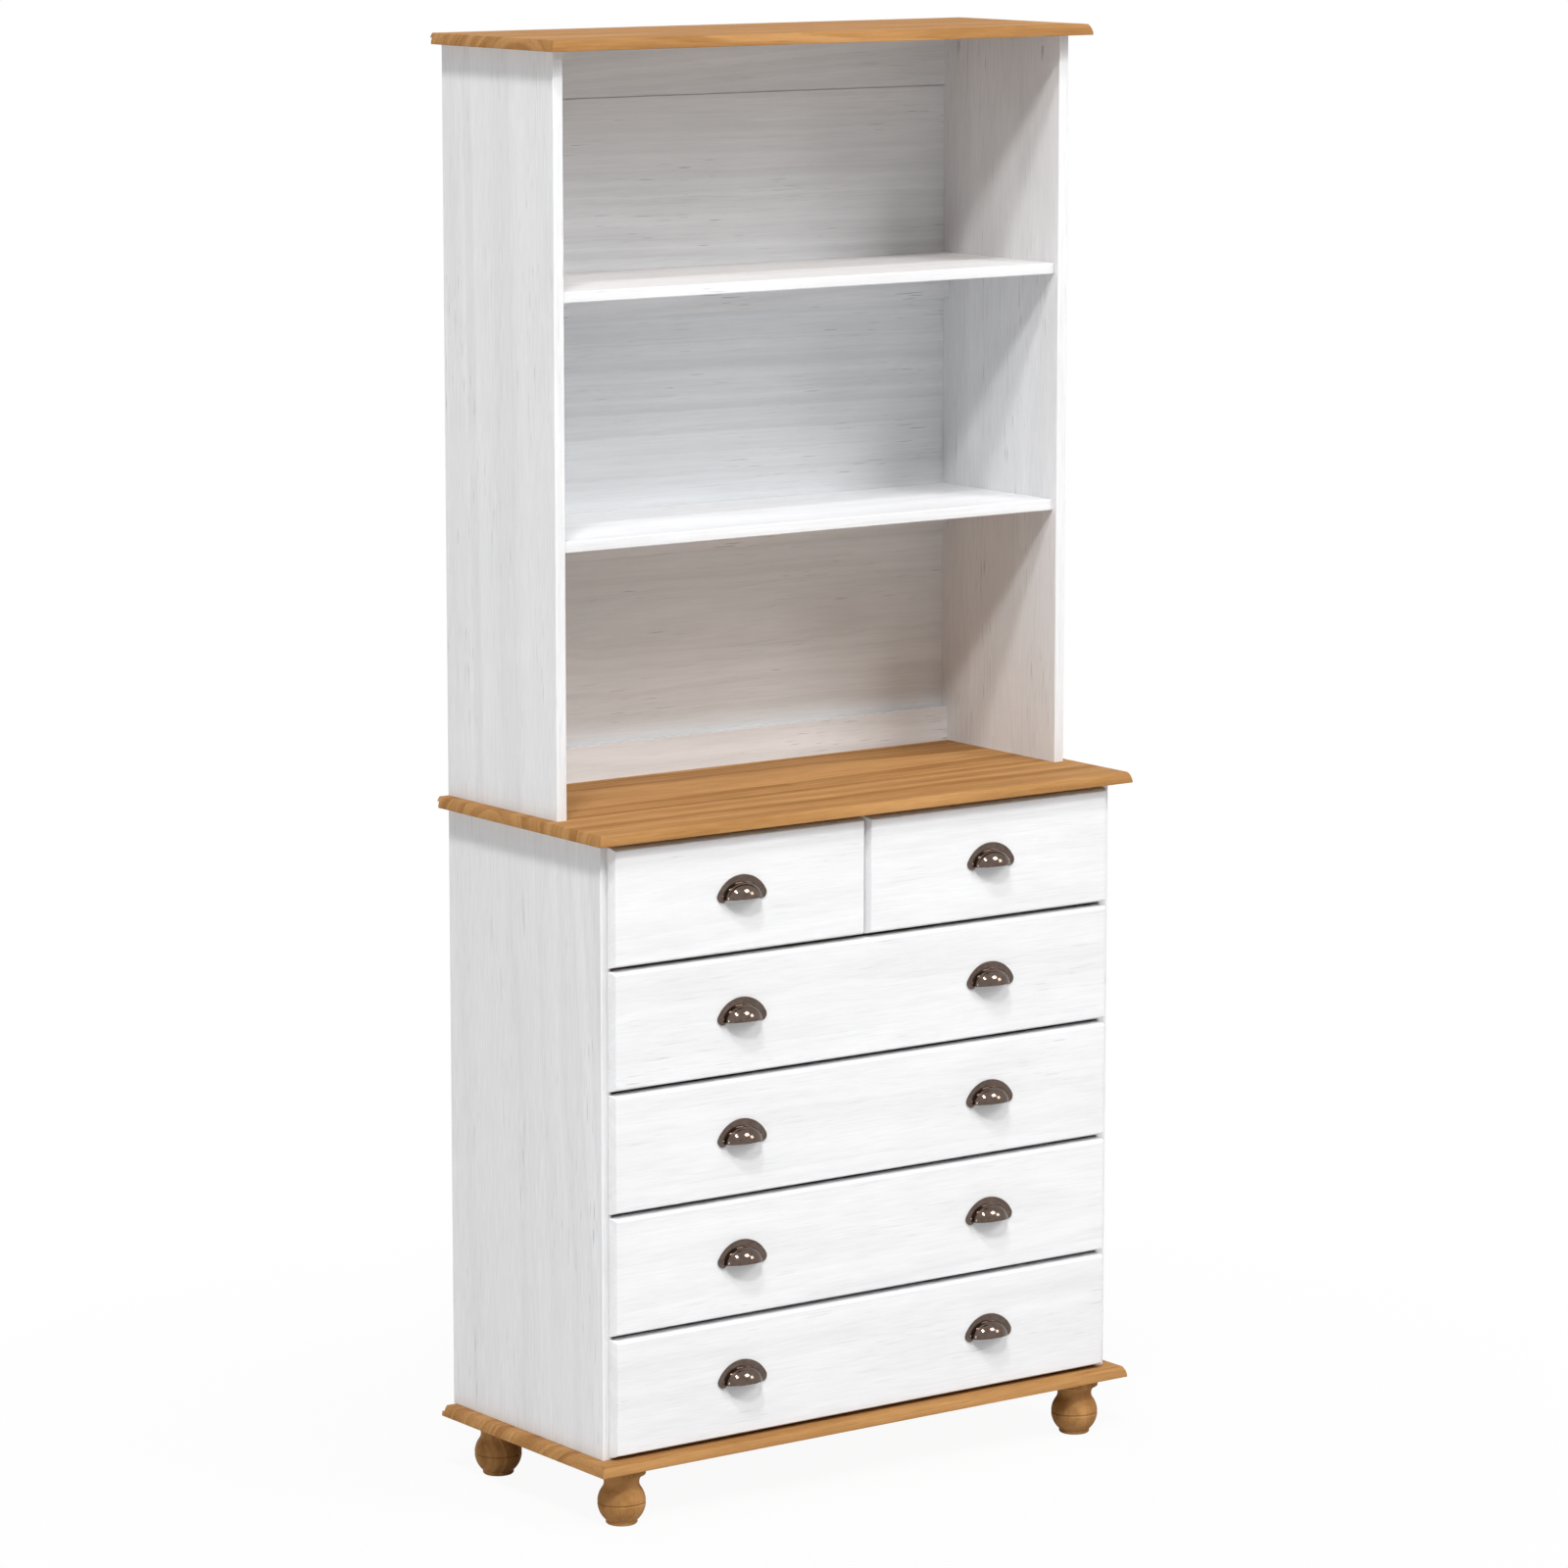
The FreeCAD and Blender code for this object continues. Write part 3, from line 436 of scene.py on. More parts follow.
def dress(obj, nodes, material):
    """Lets a finished piece stand for CAD nodes, ride on their body and carry a finish."""
    body = frame["nodes"][nodes[0]]["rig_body"]
    obj.data.materials.clear()
    obj.data.materials.append(material)
    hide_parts(*nodes)
    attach(obj, body)
    return obj


def piece_name(node):
    return node + "_finished"


# Shader maths

class Socket:
    """One output of a node. Arithmetic on it adds Math nodes."""

    def __init__(self, recipe, output):
        self.recipe = recipe
        self.output = output

    def math(self, operation, *values):
        return self.recipe.add("ShaderNodeMath", {"operation": operation}, dict(enumerate((self, *values))))

    def __add__(self, other):
        return self.math("ADD", other)

    def __sub__(self, other):
        return self.math("SUBTRACT", other)

    def __rsub__(self, other):
        return self.recipe.add("ShaderNodeMath", {"operation": "SUBTRACT"}, {0: other, 1: self})

    def __mul__(self, other):
        return self.math("MULTIPLY", other)

    def __truediv__(self, other):
        return self.math("DIVIDE", other)

    __radd__ = __add__
    __rmul__ = __mul__


class Recipe:
    """The node tree of a material or of the world."""

    def __init__(self, owner):
        owner.use_nodes = True
        self.tree = owner.node_tree
        self.tree.nodes.clear()

    def add(self, kind, settings=None, inputs=None, output=0):
        """Adds a node, fills its sockets with values or links, and returns one of its outputs."""
        node = self.tree.nodes.new(kind)
        for name, value in (settings or {}).items():
            setattr(node, name, value)
        for key, value in (inputs or {}).items():
            if isinstance(value, Socket):
                self.tree.links.new(value.output, node.inputs[key])
            else:
                node.inputs[key].default_value = value
        return Socket(self, node.outputs[output]) if node.outputs else None

    def noise(self, vector, detail=2.0):
        inputs = {"Vector": vector, "Scale": 1.0, "Detail": detail, "Roughness": NOISE_ROUGHNESS}
        return self.add("ShaderNodeTexNoise", None, inputs)

    def rings(self, count, detail):
        """Smooth chance along one number, from band to band."""
        inputs = {"W": count, "Scale": 1.0, "Detail": detail, "Roughness": NOISE_ROUGHNESS}
        return self.add("ShaderNodeTexNoise", {"noise_dimensions": "1D"}, inputs)

    def mix(self, factor, first, second):
        return self.add("ShaderNodeMix", {"data_type": "RGBA"}, {0: factor, 6: first, 7: second}, 2)

    def between(self, value, low, high, new_low=0.0, new_high=1.0):
        """Maps low to high onto another range, and holds it there."""
        inputs = {0: value, 1: low, 2: high, 3: new_low, 4: new_high}
        return self.add("ShaderNodeMapRange", {"clamp": True}, inputs)


def opaque(rgb):
    return (*rgb, 1.0)


def new_material(name):
    material = bpy.data.materials.new(name)
    return material, Recipe(material)


def surface(recipe, **sockets):
    inputs = {key.replace("_", " "): value for key, value in sockets.items()}
    shader = recipe.add("ShaderNodeBsdfPrincipled", None, inputs)
    recipe.add("ShaderNodeOutputMaterial", None, {"Surface": shader})


def wood(name, grain, ring_width, colours, amounts, roughness):
    """Sawn wood whose grain runs along one axis.

    colours holds plain wood, grain and flecks. amounts holds how strongly bands, fibres, mottling, pale lines
    and flecks show.
    """
    material, recipe = new_material(name)
    plain, line, fleck = (opaque(rgb) for rgb in colours)
    along_axis = AXES.index(grain)
    across_axis, through_axis = (axis for axis in range(3) if axis != along_axis)

    position = recipe.add("ShaderNodeTexCoord", output="Object")
    heart = recipe.add("ShaderNodeAttribute", {"attribute_name": "heart"}, output="Vector")
    inside = recipe.add("ShaderNodeVectorMath", {"operation": "SUBTRACT"}, {0: position, 1: heart})
    chance = recipe.add("ShaderNodeTexWhiteNoise", None, {"Vector": heart})
    parts = recipe.add("ShaderNodeSeparateXYZ", None, {0: inside})
    coordinates = [Socket(recipe, output) for output in parts.output.node.outputs]

    def drawn_out(along, across, detail=2.0):
        """Noise stretched along the grain: cells per metre along and across it."""
        scale = [along if axis == along_axis else across for axis in range(3)]
        stretched = recipe.add("ShaderNodeVectorMath", {"operation": "MULTIPLY"}, {0: inside, 1: scale})
        return recipe.noise(stretched, detail)

    # Rings are cylinders round the tree's heart, which leans and wanders a little along the board.
    wander = (drawn_out(2.2, 7.0) - 0.5) * RING_WANDER
    waver = (drawn_out(14.0, 90.0, 3.0) - 0.5) * RING_WAVER
    across = coordinates[across_axis] + wander
    lean = coordinates[along_axis] * (chance - 0.5) * RING_LEAN
    through = coordinates[through_axis] + lean + wander * 0.6
    radius = (across * across + through * through).math("SQRT") + waver
    rings = radius / ring_width + chance * 90.0
    band = recipe.between(recipe.rings(rings, 4.0), 0.33, 0.67)
    pale = recipe.between(recipe.rings(rings * 2.3 + 7.0, 1.0), 0.6, 0.68)

    fibre = drawn_out(20.0, 420.0, 3.0)
    mottle = drawn_out(4.0, 26.0, 3.0)
    streaks = recipe.between(drawn_out(16.0, 420.0, 1.0), 0.62, 0.74)
    streaks *= recipe.between(drawn_out(2.5, 30.0, 1.0), 0.42, 0.6)
    flecks = recipe.between(drawn_out(18.0, 560.0, 1.0), 0.68, 0.75)
    flecks *= recipe.between(drawn_out(3.5, 17.0, 1.0), 0.48, 0.6)

    bands_shown, fibres_shown, mottle_shown, pale_shown, flecks_shown = amounts
    tone = band * bands_shown + recipe.between(fibre, 0.3, 0.7) * fibres_shown
    tone += recipe.between(mottle, 0.3, 0.7) * mottle_shown
    tone = (tone * (1.0 - pale * pale_shown) + streaks * fibres_shown).math("MINIMUM", 1.0)
    wood_colour = recipe.mix(flecks * flecks_shown, recipe.mix(tone, plain, line), fleck)
    relief = fibre * 0.6 - flecks
    bump = recipe.add("ShaderNodeBump", None, {"Strength": 0.25, "Distance": 0.0003, "Height": relief})
    shine = recipe.between(fibre, 0.25, 0.75, roughness - 0.06, roughness + 0.08)
    surface(recipe, Base_Color=wood_colour, Roughness=shine, Specular_IOR_Level=0.12, Normal=bump)
    return material


def metal(name, bright, dull, low_roughness, high_roughness, patch_scale):
    """Metal with a patchy surface."""
    material, recipe = new_material(name)
    position = recipe.add("ShaderNodeTexCoord", output="Object")

    def patches(scale, detail):
        scaled = recipe.add("ShaderNodeVectorMath", {"operation": "SCALE"}, {0: position, "Scale": scale})
        return recipe.noise(scaled, detail)

    specks = patches(patch_scale * 9, 2.0)
    worn = recipe.between(patches(patch_scale, 4.0) * 0.75 + specks * 0.25, 0.36, 0.64)
    bump = recipe.add("ShaderNodeBump", None, {"Strength": 0.08, "Distance": 0.0001, "Height": specks})
    surface(recipe, Base_Color=recipe.mix(worn, opaque(bright), opaque(dull)), Metallic=1.0,
            Roughness=recipe.between(worn, 0.0, 1.0, low_roughness, high_roughness), Normal=bump)
    return material


def finish(name, *recipe):
    """The finish of this name, mixed at its first use."""
    kind, *values = recipe
    return bpy.data.materials.get(name) or kind(name, *values)


# Grain axis, ring width and amounts of the white-stained boards
WHITE_BOARDS = {
    "upright": ("Z", 0.034, (0.35, 0.45, 0.15, 0.2, 0.8)),
    "level": ("X", 0.022, (0.5, 0.25, 0.3, 0.4, 0.8)),
    "front": ("X", 0.03, (0.3, 0.3, 0.3, 0.3, 0.4)),
}


def tones(*names):
    """Finish colours by name."""
    return [getattr(bpy.context.scene.buffet_colours, name) for name in names]


def white_pine(use):
    stain = tones("white_paint", "white_grain", "white_fleck")
    grain, ring_width, amounts = WHITE_BOARDS[use]
    return finish("white_pine_" + use, wood, grain, ring_width, stain, amounts, WHITE_ROUGHNESS)


# Painted cool tint: the hutch back's stain is a little bluer than the other white boards, to offset the warm
# bounce light from the honey boards.
def white_panel():
    stain = tones("white_panel", "white_panel_grain_painted_cool", "white_fleck")
    grain, ring_width, amounts = WHITE_BOARDS["level"]
    return finish("white_panel", wood, grain, ring_width, stain, amounts, WHITE_ROUGHNESS)


def honey_pine(grain):
    stain = tones("honey", "honey_grain", "honey_fleck")
    return finish("honey_pine_" + grain, wood, grain, 0.027, stain, (0.85, 0.25, 0.3, 0.6, 0.6), 0.7)


def raw_pine(grain):
    stain = tones("raw_pine", "raw_pine_grain", "raw_pine_grain")
    return finish("raw_pine_" + grain, wood, grain, 0.01, stain, (0.6, 0.2, 0.3, 0.3, 0.5), 0.6)


def thin_panel():
    stain = tones("panel", "panel_grain", "panel_grain")
    return finish("panel_board", wood, "X", 0.05, stain, (0.4, 0.4, 0.3, 0.2, 0.4), 0.6)


def beech(grain):
    stain = tones("beech", "beech_grain", "beech_grain")
    return finish("beech_" + grain, wood, grain, 0.006, stain, (0.4, 0.4, 0.2, 0.2, 1.0), 0.5)


def bronze():
    return finish("aged_bronze", metal, *tones("bronze", "bronze_patina"), 0.06, 0.14, 130.0)


def zinc():
    return finish("zinc_plate", metal, *tones("zinc", "zinc_dull"), 0.3, 0.45, 300.0)


# Operators: one for each kind of piece

class BUFFET_OT_honey_boards(bpy.types.Operator):
    """Models the base, worktop and hutch top, moulded along the front and both ends"""
    bl_idname = "buffet.honey_boards"
    bl_label = "Honey boards"

    # Board, back panel in its rabbet, True where that stands on it, and the heart's offset from its middle
    boards = (
        ("base_board", "buffet_back_panel", True, (0.3, -0.16, -0.11)),
        ("worktop", "buffet_back_panel", False, (-0.2, 0.06, -0.055)),
        ("hutch_top", "hutch_back_panel", False, (0.1, -0.07, -0.09)),
    )

    def execute(self, context):
        sizes = context.scene.buffet_boards
        for node, panel_node, stands, offset in self.boards:
            low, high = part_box(node)
            panel_low, panel_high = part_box(panel_node)
            board = moulded_slab(piece_name(node), low, high, 2, 1, sizes.moulding_radius, square=((1, 1),))
            cut_low = Vector((low.x - OVERCUT, panel_low.y, panel_low.z - sizes.lap_clearance))
            cut_high = Vector((high.x + OVERCUT, high.y + OVERCUT, panel_high.z + sizes.lap_clearance))
            if stands:
                cut_high.z = high.z + OVERCUT
            else:
                cut_low.z = low.z - OVERCUT
            combine(board, block("rabbet", cut_low, cut_high), "DIFFERENCE")
            soften(board, sizes.arris)
            set_heart(board, (low + high) / 2 + Vector(offset))
            dress(board, [node], honey_pine("X"))
        return {"FINISHED"}


class BUFFET_OT_side_boards(bpy.types.Operator):
    """Models the four side boards with their rear rabbets, and the screw pockets in the hutch's"""
    bl_idname = "buffet.side_boards"
    bl_label = "Side boards"

    # Board, back panel in its rabbet, side of the cabinet, and the heart's offset from the inner face
    boards = (
        ("buffet_left_side", "buffet_back_panel", -1, (0.16, 0.05)),
        ("buffet_right_side", "buffet_back_panel", 1, (-0.13, -0.08)),
        ("hutch_left_side", "hutch_back_panel", -1, (0.11, -0.12)),
        ("hutch_right_side", "hutch_back_panel", 1, (0.19, 0.03)),
    )

    def pocket(self, side, low, high, y):
        """The wide bore of a slanted screw, from its seat down and out through the inner face."""
        sizes = bpy.context.scene.buffet_boards
        lean = Vector((side * math.sin(sizes.pocket_tilt), 0, math.cos(sizes.pocket_tilt)))
        seat = Vector(((low.x + high.x) / 2, y, high.z)) - lean * sizes.pocket_seat
        reach = 2 * (high.x - low.x) / math.sin(sizes.pocket_tilt)
        return rod("pocket", seat - lean * reach, seat, sizes.pocket_radius, POCKET_SEGMENTS)

    def execute(self, context):
        sizes = context.scene.buffet_boards
        screws_low, screws_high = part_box("pocket_screws")
        for number, (node, panel_node, side, (heart_x, heart_y)) in enumerate(self.boards):
            low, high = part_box(node)
            panel_low, panel_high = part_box(panel_node)
            board = block(piece_name(node), low, high)
            inner = low.x if side > 0 else high.x
            lap = panel_high.x + sizes.lap_clearance
            cut_x = sorted((inner - side * OVERCUT, side * lap))
            cut_low = (cut_x[0], panel_low.y, low.z - OVERCUT)
            cut_high = (cut_x[1], high.y + OVERCUT, high.z + OVERCUT)
            combine(board, block("rabbet", cut_low, cut_high), "DIFFERENCE")
            if panel_node == "hutch_back_panel":
                for y in (screws_low.y + sizes.pocket_head, screws_high.y - sizes.pocket_head):
                    combine(board, self.pocket(side, low, high, y), "DIFFERENCE")
            ease_front(board, low.y, 0)
            soften(board, sizes.arris)
            set_heart(board, (inner + heart_x, (low.y + high.y) / 2 + heart_y, number))
            dress(board, [node], white_pine("upright"))
        return {"FINISHED"}


class BUFFET_OT_hutch_fittings(bpy.types.Operator):
    """Models the hutch's shelves and the rails along its back"""
    bl_idname = "buffet.hutch_fittings"
    bl_label = "Shelves and rails"

    def execute(self, context):
        sizes = context.scene.buffet_boards
        for number, node in enumerate(("hutch_upper_shelf", "hutch_lower_shelf")):
            low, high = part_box(node)
            shelf = block(piece_name(node), low, high)
            ease_front(shelf, low.y, 2)
            soften(shelf, sizes.arris)
            set_heart(shelf, (number + 0.3, low.y - 0.05 + 0.12 * number, low.z - 0.06))
            dress(shelf, [node], white_pine("level"))

        low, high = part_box("hutch_bottom_rail")
        height = high.z - low.z
        bottom_rail = self.rail("hutch_bottom_rail", low, high, 3)
        dress(bottom_rail, ["hutch_bottom_rail"], white_pine("level"))
        low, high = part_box("hutch_shelf_rails")
        under_lower = self.rail("lower", low, (high.x, high.y, low.z + height), 4)
        under_upper = self.rail("upper", (low.x, low.y, high.z - height), high, 5)
        shelf_rails = join([under_lower, under_upper], piece_name("hutch_shelf_rails"))
        dress(shelf_rails, ["hutch_shelf_rails"], white_pine("level"))
        return {"FINISHED"}

    def rail(self, node, low, high, number):
        sizes = bpy.context.scene.buffet_boards
        rail = soften(block(piece_name(node), low, high), sizes.panel_arris, 1)
        set_heart(rail, (number, high[1] + 0.09, low[2] + 0.015 * number - 0.06))
        return rail


class BUFFET_OT_back_panels(bpy.types.Operator):
    """Models the back panels and the nails that hold them"""
    bl_idname = "buffet.back_panels"
    bl_label = "Back panels"

    def execute(self, context):
        sizes = context.scene.buffet_boards
        low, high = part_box("hutch_back_panel")
        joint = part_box("hutch_top")[0].z - sizes.panel_joint
        seam = (joint - sizes.panel_seam / 2, joint + sizes.panel_seam / 2)
        lower = block("lower", low, (high.x, high.y, seam[0]))
        upper = block("upper", (low.x, low.y, seam[1]), high)
        tongue = block("tongue", (low.x, (low.y + high.y) / 2, seam[0] - OVERCUT), (high.x, high.y, seam[1]))
        combine(lower, tongue, "UNION")
        for board, heart_x, heart_z in ((lower, 0.1, 1.16), (upper, 2.1, joint - 0.03)):
            soften(board, sizes.panel_arris, 1)
            set_heart(board, (heart_x, low.y + 0.07, heart_z))
        hutch_back = join([lower, upper], piece_name("hutch_back_panel"))
        dress(hutch_back, ["hutch_back_panel"], white_panel())
        self.nail_down(low, high, "hutch_back_nails")

        low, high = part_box("buffet_back_panel")
        buffet_back = soften(block(piece_name("buffet_back_panel"), low, high), sizes.arris)
        set_heart(buffet_back, (0.4, low.y + 0.3, 0.4))
        dress(buffet_back, ["buffet_back_panel"], thin_panel())
        self.nail_down(low, high, "buffet_back_nails")
        return {"FINISHED"}

    def nail_down(self, low, high, name):
        """Sets flat nail heads along a panel's four laps."""
        sizes = bpy.context.scene.buffet_boards
        ends = ((0, sizes.nail_height / 2, 0), (0, -sizes.nail_height / 2, 0))
        model = soften(rod("nail", *ends, sizes.nail_radius, NAIL_SEGMENTS), sizes.nail_height / 3, 1)
        inset = sizes.nail_inset
        level = high.y + sizes.nail_height / 2
        left, right = low.x + inset, high.x - inset
        bottom, top = low.z + inset, high.z - inset
        columns = math.ceil((right - left) / sizes.nail_pitch)
        rows = math.ceil((top - bottom) / sizes.nail_pitch)
        places = [(left + (right - left) * n / columns, z) for n in range(columns + 1) for z in (bottom, top)]
        places += [(x, bottom + (top - bottom) * n / rows) for n in range(1, rows) for x in (left, right)]
        nails = [placed_copy(model, "nail", (x, level, z)) for x, z in places]
        discard(model)
        nails = join(nails, name)
        nails.data.materials.clear()
        nails.data.materials.append(zinc())
        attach(nails, CABINET)


class BUFFET_OT_bun_feet(bpy.types.Operator):
    """Turns the four bun feet"""
    bl_idname = "buffet.bun_feet"
    bl_label = "Bun feet"

    def outline(self, sizes, flange_radius, height):
        """Half section of a foot from its pad's middle to its top's middle."""
        def ball(level):
            return math.sqrt(sizes.ball_radius**2 - (level - middle) ** 2)

        def levels(low, high):
            return [low + (high - low) * n / ARC_STEPS for n in range(ARC_STEPS + 1)]

        middle = sizes.pad_height + math.sqrt(sizes.ball_radius**2 - sizes.pad_radius**2)
        shoulder = middle + sizes.shoulder_rise
        waist = shoulder + sizes.waist_rise
        cove_centre = sizes.neck_radius + sizes.cove_radius
        flange = waist + math.sqrt(sizes.cove_radius**2 - (cove_centre - sizes.cove_top_radius) ** 2)
        groove = sizes.groove
        points = [(0, 0), (sizes.pad_radius - sizes.pad_chamfer, 0), (sizes.pad_radius, sizes.pad_chamfer)]
        points += [(ball(level), level) for level in levels(sizes.pad_height, middle - groove)]
        points.append((sizes.ball_radius - groove, middle))
        points += [(ball(level), level) for level in levels(middle + groove, shoulder)]
        for level in levels(shoulder + groove, flange):
            points.append((cove_centre - math.sqrt(sizes.cove_radius**2 - (level - waist) ** 2), level))
        points += [(flange_radius, flange), (flange_radius, height), (0, height)]
        return [(radius, 0, level) for radius, level in points]

    def execute(self, context):
        sizes = context.scene.buffet_feet
        low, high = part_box(FEET[0])
        model = drawn("foot", self.outline(sizes, (high.x - low.x) / 2, high.z))
        with editing(model, "VERT"):
            bpy.ops.mesh.select_all(action="SELECT")
            bpy.ops.mesh.spin(steps=TURNING_STEPS, angle=2 * math.pi, center=(0, 0, 0), axis=(0, 0, 1))
            bpy.ops.mesh.select_all(action="SELECT")
            bpy.ops.mesh.remove_doubles(threshold=MERGE_DISTANCE)
            bpy.ops.mesh.normals_make_consistent(inside=False)
        soften(model, sizes.groove / 8, 2)
        for number, node in enumerate(FEET):
            low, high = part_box(node)
            middle = (low + high) / 2
            foot = placed_copy(model, piece_name(node), (middle.x, middle.y, low.z))
            set_heart(foot, (middle.x + 0.035, middle.y + 0.03 - 0.02 * number, number))
            dress(foot, [node], honey_pine("Z"))
        discard(model)
        return {"FINISHED"}


class BUFFET_OT_drawer_fronts(bpy.types.Operator):
    """Models the lipped drawer fronts, moulded all round"""
    bl_idname = "buffet.drawer_fronts"
    bl_label = "Drawer fronts"

    # How far behind and above a front's middle its heart ran, and along it
    hearts = (
        (0.05, 0.02, 0.1),
        (0.07, -0.05, 0.7),
        (0.09, 0.06, 0.35),
        (0.045, -0.01, -0.2),
        (0.08, 0.03, 0.5),
        (0.06, -0.04, 0.0),
    )

    def execute(self, context):
        sizes = context.scene.buffet_boards
        carcass_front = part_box("buffet_left_side")[0].y
        for name, (behind, above, beside) in zip(DRAWERS, self.hearts):
            node = name + "_front"
            low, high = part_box(node)
            sides_low, sides_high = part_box(name + "_sides")
            lip_back = carcass_front - sizes.lip_gap
            front = moulded_slab(
                piece_name(node), low, (high.x, lip_back, high.z), 1, -1, sizes.moulding_radius)
            tongue_low, tongue_high = sides_low.x - sizes.tongue_lap, sides_high.x + sizes.tongue_lap
            with editing(front):
                for x in (tongue_low, tongue_high):
                    bpy.ops.mesh.select_all(action="SELECT")
                    bpy.ops.mesh.bisect(plane_co=(x, 0, 0), plane_no=(1, 0, 0))
                pick(
                    front, "faces", lambda face: face.normal.y > 0.5
                    and tongue_low < face.calc_center_median().x < tongue_high)
                bpy.ops.mesh.extrude_region_move(TRANSFORM_OT_translate={"value": (0, high.y - lip_back, 0)})
            soften(front, sizes.arris)
            middle = (low + high) / 2
            set_heart(front, (middle.x + beside, low.y + behind, middle.z + above))
            dress(front, [node], white_pine("front"))
        return {"FINISHED"}


class BUFFET_OT_cup_pulls(bpy.types.Operator):
    """Models the cup pulls with their eared flanges"""
    bl_idname = "buffet.cup_pulls"
    bl_label = "Cup pulls"

    def ball(self, sizes, shrink):
        """A ball stretched to a cup's size, with its middle at the lip in the flange's front plane."""
        primitive = bpy.ops.mesh.primitive_uv_sphere_add
        ball = started("ball", primitive, segments=CUP_SEGMENTS, ring_count=CUP_RINGS, radius=1)
        ball.rotation_euler.y = math.pi / 2
        settle(ball)
        ball.scale = (sizes.cup_half - shrink, sizes.cup_radius - shrink, sizes.cup_height - shrink)
        ball.location = (0, -sizes.flange_thickness, -sizes.lip_drop)
        return settle(ball)

    def trimmed(self, obj, place, normal):
        """Cuts away what lies on the side of a plane that its normal points to, and leaves the cut open."""
        with editing(obj):
            bpy.ops.mesh.select_all(action="SELECT")
            bpy.ops.mesh.bisect(plane_co=place, plane_no=normal, clear_outer=True)

    def outline(self, sizes):
        """Edge of the flange: one arc that runs into both ears without a corner."""
        hole_x, ear, rise = sizes.hole_spacing / 2, sizes.ear_radius, sizes.flange_rise
        arch = (hole_x**2 + rise**2 - ear**2) / (2 * (rise - ear))
        meet = math.atan2(arch - rise, hole_x)
        arcs = (
            (hole_x, 0, ear, -math.pi, meet),
            (0, rise - arch, arch, meet, math.pi - meet),
            (-hole_x, 0, ear, math.pi - meet, 2 * math.pi),
        )
        points = []
        for x, z, radius, start, end in arcs:
            for n in range(FLANGE_STEPS):
                angle = start + (end - start) * n / FLANGE_STEPS
                points.append((x + radius * math.cos(angle), 0, z + radius * math.sin(angle)))
        return points + [(ear - hole_x, 0, 0)]

    def model(self, sizes):
        """One pull with its screw holes' level at height 0 and its back in the plane Y 0."""
        flange = drawn("flange", self.outline(sizes))
        with editing(flange, "VERT"):
            bpy.ops.mesh.select_all(action="SELECT")
            bpy.ops.mesh.edge_face_add()
            forward = (0, -sizes.flange_thickness, 0)
            bpy.ops.mesh.extrude_region_move(TRANSFORM_OT_translate={"value": forward})
            bpy.ops.mesh.select_all(action="SELECT")
            bpy.ops.mesh.normals_make_consistent(inside=False)
        cup = self.ball(sizes, 0)
        sunk = -sizes.flange_thickness / 2
        self.trimmed(cup, (0, sunk, 0), (0, 1, 0))
        lip = Vector((0, -math.sin(sizes.lip_tilt), -math.cos(sizes.lip_tilt)))
        self.trimmed(cup, (0, 0, -sizes.lip_drop), lip)
        apply_modifier(cup, "SOLIDIFY", thickness=sizes.wall, offset=-1)
        combine(flange, cup, "UNION")
        combine(flange, self.ball(sizes, sizes.wall), "DIFFERENCE")
        return shade(flange)

    def execute(self, context):
        sizes = context.scene.buffet_pulls
        model = self.model(sizes)
        half = sizes.hole_spacing / 2 + sizes.ear_radius
        for name in DRAWERS:
            node = name + "_pulls"
            low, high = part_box(node)
            columns = sorted({round(low.x + half, 5), round(high.x - half, 5)})
            copies = [placed_copy(model, "pull", (x, high.y, low.z + sizes.ear_radius)) for x in columns]
            dress(join(copies, piece_name(node)), [node], bronze())
        discard(model)
        return {"FINISHED"}


class BUFFET_OT_pull_screws(bpy.types.Operator):
    """Models the slotted round-head screws of the pulls"""
    bl_idname = "buffet.pull_screws"
    bl_label = "Pull screws"

    def model(self, sizes, shank):
        """One screw with its head's seat in the plane Y 0, its shank to the rear and an upright slot."""
        radius, height = sizes.screw_head_radius, sizes.screw_head_height
        dome = (radius**2 + height**2) / (2 * height)
        primitive = bpy.ops.mesh.primitive_uv_sphere_add
        screw = started("screw", primitive, segments=HEAD_SEGMENTS, ring_count=HEAD_RINGS, radius=dome)
        screw.rotation_euler.x = math.pi / 2
        screw.location.y = dome - height
        settle(screw)
        with editing(screw):
            bpy.ops.mesh.select_all(action="SELECT")
            bpy.ops.mesh.bisect(plane_co=(0, 0, 0), plane_no=(0, 1, 0), clear_outer=True, use_fill=True)
        ends = ((0, -height / 4, 0), (0, shank, 0))
        combine(screw, rod("shank", *ends, sizes.screw_shank_radius, SHANK_SEGMENTS), "UNION")
        slot_low = (-sizes.slot_width / 2, -height - OVERCUT, -radius - OVERCUT)
        slot_high = (sizes.slot_width / 2, sizes.slot_depth - height, radius + OVERCUT)
        combine(screw, block("slot", slot_low, slot_high), "DIFFERENCE")
        return soften(screw, sizes.slot_width / 6, 2)

    def execute(self, context):
        sizes = context.scene.buffet_pulls
        low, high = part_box(DRAWERS[0] + "_pull_screws")
        seat_y = low.y + sizes.screw_head_height
        model = self.model(sizes, high.y - seat_y)
        half = sizes.hole_spacing / 2 + sizes.ear_radius
        for name in DRAWERS:
            node = name + "_pull_screws"
            pulls_low, pulls_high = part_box(name + "_pulls")
            columns = {round(x, 5) for pull_x in (pulls_low.x + half, pulls_high.x - half)
                       for x in (pull_x - sizes.hole_spacing / 2, pull_x + sizes.hole_spacing / 2)}
            level = pulls_low.z + sizes.ear_radius
            copies = [placed_copy(model, "screw", (x, seat_y, level)) for x in sorted(columns)]
            dress(join(copies, piece_name(node)), [node], bronze())
        discard(model)
        return {"FINISHED"}


